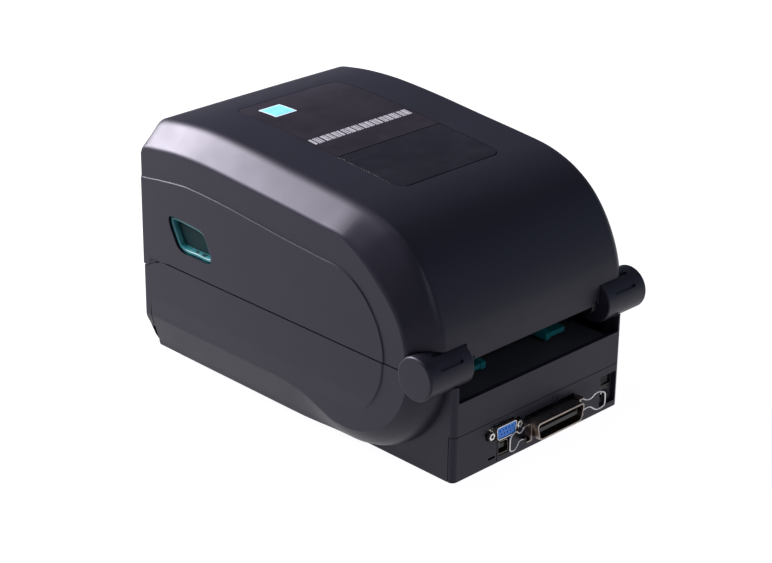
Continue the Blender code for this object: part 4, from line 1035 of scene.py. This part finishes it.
def make_serial():
    """Nine-way connector: plated shell with a flange and threaded posts, drilled insert."""
    x, z = SERIAL_X, SERIAL_Z
    shell = prism("serial_hood", [d_shape(x, z, 9.2, 4.5, 1.3, 2.2),
                                  d_shape(x, z, 8.75, 4.05, 1.25, 1.9)], 125.5, 131.1, "Y")
    flange = prism("serial_flange", [rounded_rect(x, z, 15.4, 6.0, 1.5),
                                     d_shape(x, z, 8.7, 4.0, 1.2, 1.9)], 124.6, 125.6, "Y")
    join(shell, flange)
    for side in (-1, 1):
        centre = (x + side * JACKSCREW_PITCH / 2, 0, z)
        post = turned("serial_post_%d" % side,
                      [(0, 125.2), (2.75, 125.2), (2.75, 130.3), (2.45, 130.7), (1.35, 130.7),
                       (1.15, 130.3), (1.15, 126), (0, 126)], "Y", centre, 6)
        join(shell, post)
    install(shell, "root", "chrome", "chrome", "serial_shell", sharp=35)
    insert = prism("serial_block", [d_shape(x, z, 8.6, 3.9, 1.2, 1.8)], 124.6, 130.5, "Y")
    for row, count in ((1, 5), (-1, 4)):
        for i in range(count):
            place = (x + (i - (count - 1) / 2) * PIN_PITCH, 0, z + row * PIN_ROW_Z)
            cut(insert, rod("pin_hole", 0.62, 128.6, 132, "Y", place, 10))
    install(insert, "root", "blue", "blue_plastic", "serial_insert")


def make_parallel():
    """Ribbon-type parallel connector with its sprung wire clips."""
    parallel_shell()
    parallel_insert()
    for side in (-1, 1):
        make_bail(side, PARALLEL_X + side * BAIL_OUT, PARALLEL_Z)


def parallel_shell():
    """Metal shell with a lip round its mouth and a bracket for a clip at each end."""
    x, z, w, h = PARALLEL_X, PARALLEL_Z, PARALLEL_HALF_W, PARALLEL_HALF_H
    shell = prism("parallel_hood", [d_shape(x, z, w, h, 2.6, 3.4),
                                    d_shape(x, z, w - 0.9, h - 0.9, 2.3, 2.8)], 124.4, 137.6,
                  "Y")
    lip = prism("parallel_lip", [d_shape(x, z, w, h, 2.6, 3.4),
                                 d_shape(x, z, w - 1.1, h - 1.1, 2.25, 2.6)], 137.5, 138.4, "Y")
    join(shell, lip)
    for side in (-1, 1):
        pivot = x + side * BAIL_OUT
        near, far = sorted((x + side * (w - 0.6), pivot + side * 1.3))
        bracket = block("bail_bracket_%d" % side, (near, REAR_Y + 0.35, z - 6.3),
                        (far, 134.2, z + 6.3), 0.5, "Z")
        low, high = sorted((pivot - side * 1.7, pivot + side * 5))
        cut(bracket, block("bracket_gap_%d" % side, (low, 126, z - 5.4), (high, 140, z + 5.4)))
        join(shell, settle(bracket))
    soften(shell, 0.2, 50)
    install(shell, "root", "shell", "chrome", "parallel_shell", sharp=40)


def parallel_insert():
    """Moulded insert, with a row of contacts above its tongue and one below."""
    x, z, w, h = PARALLEL_X, PARALLEL_Z, PARALLEL_HALF_W, PARALLEL_HALF_H
    insert = prism("parallel_block", [d_shape(x, z, w - 1.3, h - 1.3, 2.2, 2.4)], 124.2, 128.6,
                   "Y")
    reach = w - 4.6
    join(insert, block("parallel_tongue_form", (x - reach, 128, z - 1.5),
                       (x + reach, 136.4, z + 1.5), 0.4))
    slots = [x + (i - (CONTACTS - 1) / 2) * CONTACT_PITCH for i in range(CONTACTS)]
    for slot_x in slots:
        for low in (z + 1.2, z - 2.5):
            cut(insert, block("contact_slot", (slot_x - 0.55, 128.9, low),
                              (slot_x + 0.55, 135.8, low + 1.3)))
    install(insert, "root", "socket", "socket_plastic", "parallel_insert")
    places = [(slot_x, 132.3, z + row * 1.38) for slot_x in slots for row in (-1, 1)]
    contact_strips("parallel_contacts", places, (0.6, 6.6, 0.3))


def make_bail(side, pivot, z):
    """Bent spring-wire clip with a waist and a wide finger loop."""
    half = [(0.0, 4.4), (2.2, 4.3), (4.4, 3.2), (6.6, 2.7), (9.0, 3.2), (11.6, 5.2),
            (14.0, 6.1), (17.0, 5.7), (19.2, 4.6), (19.9, 3.0)]
    outline = half + [(u, -w) for u, w in reversed(half)]
    lean = radians(13)
    line = [(pivot + side * u * cos(lean), BAIL_Y + u * sin(lean), z + w) for u, w in outline]
    ends = [(pivot - side * 0.2, BAIL_Y, z + 5.2 * k) for k in (1, -1)]
    line = flowing([ends[0]] + line + [ends[1]], 5)
    bail = wire("clip_" + sided(side), line, 0.5)
    install(bail, "bail_" + sided(side), "steel", "chrome", "bail_" + sided(side), sharp=50)


def make_usb():
    """Square data socket: folded steel shell round a black tongue."""
    x, z = USB_X, USB_Z

    def mouth(grow):
        return [(x - 4.2 - grow, z - 4.4 - grow), (x + 4.2 + grow, z - 4.4 - grow),
                (x + 4.2 + grow, z + 2.2), (x + 2.9, z + 3.6 + grow), (x - 2.9, z + 3.6 + grow),
                (x - 4.2 - grow, z + 2.2)]

    shell = prism("usb_shell", [mouth(0.45), mouth(0.0)], 115, 127.3, "Y")
    plate = prism("usb_back", [mouth(0.2)], 115, 116, "Y")
    join(shell, plate)
    install(shell, "root", "shell", "steel", "usb_port")
    tongue = block("usb_tongue", (x - 2.8, 115.5, z - 1.8), (x + 2.8, 125.8, z + 1.3), 0.3)
    install(tongue, "root", "socket", "socket_plastic")
    places = [(x + dx, 121.5, z + dz) for dx in (-1.25, 1.25) for dz in (-1.9, 1.4)]
    contact_strips("usb_contacts", places, (1.1, 7, 0.25))


def make_inlet():
    """Recessed direct-current inlet, with its centre pin and sleeve spring."""
    axis = (JACK_X, 0, JACK_Z)
    inlet = block("inlet_body", (POWER_X0 + 0.3, 110, POWER_Z0 + 0.3),
                  (POWER_X1 - 0.3, 124.6, JACK_Z + 5.2), 0.6, "Y")
    cut(inlet, rod("inlet_bore", 3.7, 114, 130, "Y", axis, 48),
        rod("inlet_flare", 4.3, 123.8, 130, "Y", axis, 48))
    install(inlet, "root", "socket", "socket_plastic", "dc_inlet")
    pin = turned("inlet_pin", [(0, 113.5), (1.1, 113.5), (1.1, 122.4), (0.7, 123.2), (0, 123.4)],
                 "Y", axis, 24)
    install(pin, "root", "chrome", "chrome")
    sleeve = turned("inlet_spring", [(3.65, 114.5), (3.65, 122.8), (3.35, 122.8),
                                     (3.35, 114.5)], "Y", axis, 36)
    install(sleeve, "root", "chrome", "chrome")


def make_switch():
    """Power switch: a dished rocker in its housing."""
    bezel = block("switch_frame", (POWER_X0 + 0.3, 110, SWITCH_Z - 4.9),
                  (POWER_X1 - 0.3, 124.9, SWITCH_Z + 5.1), 0.5)
    cut(bezel, block("switch_well", (SWITCH_X - 6.3, 114, SWITCH_Z - 3.6),
                     (SWITCH_X + 6.3, 130, SWITCH_Z + 3.6), 0.4, "Y"))
    install(bezel, "root", "socket", "socket_plastic", "switch_housing")
    face = arc(SWITCH_X, 137.6, 13.7, -90 - 21, -90 + 21, 15)
    lift = [(px, py + 1.2 * (px - SWITCH_X) / 5) for px, py in face]
    line = lift + [(SWITCH_X + 5.0, 119.5), (SWITCH_X, 117.5), (SWITCH_X - 5.0, 119.5)]
    rocker = prism("rocker_cap", [line], SWITCH_Z - 3.2, SWITCH_Z + 3.2, "Z")
    soften(rocker, 0.35, 35, 3)
    install(rocker, "rocker", "socket", "socket_plastic", "power_rocker")


# ---- latches, controls and tear bar
# Faces inward of this station are painted a darker teal, as painted shade in the recess.
PULL_FLAT = 93.5              # the flange lies outside this station, the dished bowl inside


def latch_lever(sign):
    """Lever between the pivot of a latch and its hook."""
    line = [(-93.5, 132.0), (-82.5, 132.0), (-87.2, 100.0), (-87.2, 55.4), (-82.0, 55.0),
            (-82.0, 52.0), (-89.5, 49.5), (-93.0, 54.0), (-93.5, 100.0)]
    pivot = arc(LATCH_Y, LATCH_Z, 2.3, 0, 345, 24)
    return prism("latch_lever_" + sided(sign), [line, pivot],
                 *side_span(sign, LATCH_X - 9.5, LATCH_X - 4.6), "X")


def make_latches():
    """Release latches: a dished finger pull behind each opening, on a hooked lever, with everything
    inside the flange painted a darker teal as shade.
    """
    rings = [(4.0, 93.0), (4.0, 94.7), (-0.85, 94.7), (-0.9, 96.1), (-1.2, 96.3), (-2.4, 96.1),
             (-3.0, 95.4), (-3.5, 92.0), (-4.3, 89.0), (-5.6, 88.1)]
    line = latch_line(0.0)
    middle = Vector((sum(y for y, z in line), sum(z for y, z in line))) / len(line)
    for sign in (-1, 1):
        side = sided(sign)
        rows = [[(sign * x, y, z) for y, z in latch_line(grow)] for grow, x in rings]
        rows.append([(sign * 88.0, y + (middle.x - y) * 0.6, z + (middle.y - z) * 0.55)
                     for y, z in line])
        pull = join(skin("latch_pull_" + side, rows), latch_lever(sign))
        for low_y, high_y, z, out in ((-102, -73, 92.2, 93.6), (-99.5, -74, 94.4, 91.4)):
            near, far = side_span(sign, 87.7, out)
            join(pull, block("latch_ledge_%s_%d" % (side, z), (near, low_y, z),
                             (far, high_y, z + 0.9), 0.35))
        install(pull, "latch_" + side, "teal", "teal", "release_latch_" + side, sharp=35)
        # Painted shade: the bowl, ledges and lever inside PULL_FLAT take the darker teal, which
        # stands in for the shade of the recess.
        pull.data.materials.append(LOOKS["teal_painted_shade"])
        for face in pull.data.polygons:
            face.material_index = int(abs(face.center.x) < PULL_FLAT * MM)


def make_controls():
    """Feed button with a dished face, and its status lens."""
    profile = [(0, -129.5), (4, -129.5), (4, -130.5), (BUTTON_R, -130.5), (BUTTON_R, -137.4),
               (BUTTON_R - 0.25, -138.0), (BUTTON_R - 0.8, -138.3), (BUTTON_R - 1.5, -138.2),
               (4.2, -137.7), (2.0, -137.45), (0, -137.4)]
    button = turned("feed_key", profile, "Y", (BUTTON_X, 0, BUTTON_Z), 64)
    install(button, "feed_button", "socket", "socket_plastic", "feed_button")
    lens = block("status_light", (LENS_X - 5, -138.35, BUTTON_Z - 2),
                 (LENS_X + 5, -130, BUTTON_Z + 2), 0.7, segments=3)
    install(lens, "cover", "lens", "lens", "status_lens")


def make_tear_bar():
    """Serrated blade along the lower edge of the label exit."""
    teeth, half = 76, EXIT_HALF - 1
    step = 2 * half / teeth
    edge = []
    for i in range(teeth):
        edge += [(-half + step * i, -137.5), (-half + step * (i + 0.5), -138.2)]
    bar = prism("tear_blade", [edge + [(half, -137.5), (half, -131.2), (-half, -131.2)]],
                EXIT_Z0 - 0.8, EXIT_Z0, "Z")
    soften(bar, 0.1, 60, 1)
    install(bar, "root", "ground", "steel", "tear_bar")


# ---- pieces inside
def dress_nodes():
    """Materials of the CAD pieces that keep their own shape."""
    single = {
        "liner": ("media_well", "ribbon_carriage"),
        "housing": ("bottom_tray",),
        "steel": ("feed_motor", "head_bracket"),
        "ground": ("platen_shaft",),
        "aluminium": ("head_heatsink",),
        "rubber": ("platen_roller",),
        "gear": ("platen_gear", "idler_gear", "motor_pinion"),
        "board": ("main_board", "button_board"),
        "socket": ("gap_sensor",),
        "ceramic": ("print_head",),
    }
    paired = {
        "teal": ("roll_holder", "media_guide", "supply_hub", "takeup_hub"),
        "steel": ("side_frame", "head_spring"),
        "black_steel": ("hinge_pin", "hinge_arm"),
        "rubber": ("foot_front", "foot_rear"),
        "gear": ("platen_bearing",),
    }
    dressed = [(look, name) for look, names in single.items() for name in names]
    dressed += [(look, name + side) for look, names in paired.items() for name in names
                for side in ("_left", "_right")]
    for look, name in dressed:
        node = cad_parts[name]
        node.data.materials.clear()
        node.data.materials.append(LOOKS[look])


# ---- room
FLOOR_HALF = 6.0              # metres
AIM = Vector((0, 0, 0.08))    # metres
# Name: place in metres, size in metres, power in watts, tint.
LAMPS = {
    "key_front": ((0.79, -1.85, 1.32), (1.2, 0.9), 195, (1.0, 0.97, 1.0)),
    "rear_sky": ((-1.75, 1.5, 0.75), (2.0, 1.5), 3.0, (0.55, 0.78, 1.0)),
    "rear_strip": ((0.6, 2.1, 1.25), (0.35, 1.0), 9, (0.9, 0.95, 1.0)),
    "overhead": ((0.2, -0.2, 2.4), (1.0, 1.0), 6, (1.0, 0.98, 1.0)),
}


def make_floor():
    """Evenly lit light table, which is also the backdrop."""
    bm = bmesh.new()
    bmesh.ops.create_grid(bm, x_segments=12, y_segments=12, size=FLOOR_HALF)
    floor = from_bmesh("floor", bm)
    look = Shading("light_table", (0.08, 0.08, 0.08), 0.8, Emission_Color=(0.99, 0.985, 1.0, 1),
                   Emission_Strength=0.98)
    look.drive("Roughness", look.spread(look.noise(30), 0.3, 0.7, 0.72, 0.88))
    floor.data.materials.append(look.material)


def make_lights():
    """Dim bluish surroundings and soft rectangular lamps, aimed at the printer."""
    world = bpy.data.worlds.new("studio")
    bpy.context.scene.world = world
    world.use_nodes = True
    back = world.node_tree.nodes["Background"]
    back.inputs["Color"].default_value = (0.70, 0.78, 1.0, 1)
    back.inputs["Strength"].default_value = 0.25
    for name, (place, size, power, tone) in LAMPS.items():
        data = bpy.data.lights.new(name, "AREA")
        data.shape = "RECTANGLE"
        data.size, data.size_y = size
        data.energy = power
        data.color = tone
        lamp = piece(name, data)
        lamp.location = place
        lamp.rotation_euler = (AIM - Vector(place)).to_track_quat("-Z", "Y").to_euler()


def make_camera():
    """Long lens, seen from the rear right and above."""
    around, up, roll = radians(45.0933), radians(24.1277), radians(0.8358)
    back = Vector((sin(around) * cos(up), cos(around) * cos(up), sin(up)))
    level = Vector((-cos(around), sin(around), 0))
    rise = back.cross(level)
    right = level * cos(roll) + rise * sin(roll)
    data = bpy.data.cameras.new("camera")
    data.lens = 100.04
    data.sensor_width = 36
    camera = piece("camera", data)
    axes = Matrix((right, back.cross(right), back)).transposed()
    camera.matrix_world = Matrix.Translation((0.905985, 0.895027, 0.640740)) @ axes.to_4x4()
    bpy.context.scene.camera = camera


def main():
    make_camera()
    make_floor()
    make_lights()
    dress_nodes()
    make_hood()
    make_top_panel()
    make_base()
    make_bezel()
    make_knuckles()
    make_rear_panel()
    make_serial()
    make_parallel()
    make_usb()
    make_inlet()
    make_switch()
    make_latches()
    make_controls()
    make_tear_bar()
    for draft in DRAFTS:
        bpy.data.objects.remove(draft, do_unlink=True)
    bpy.context.scene.view_settings.view_transform = "Standard"


main()
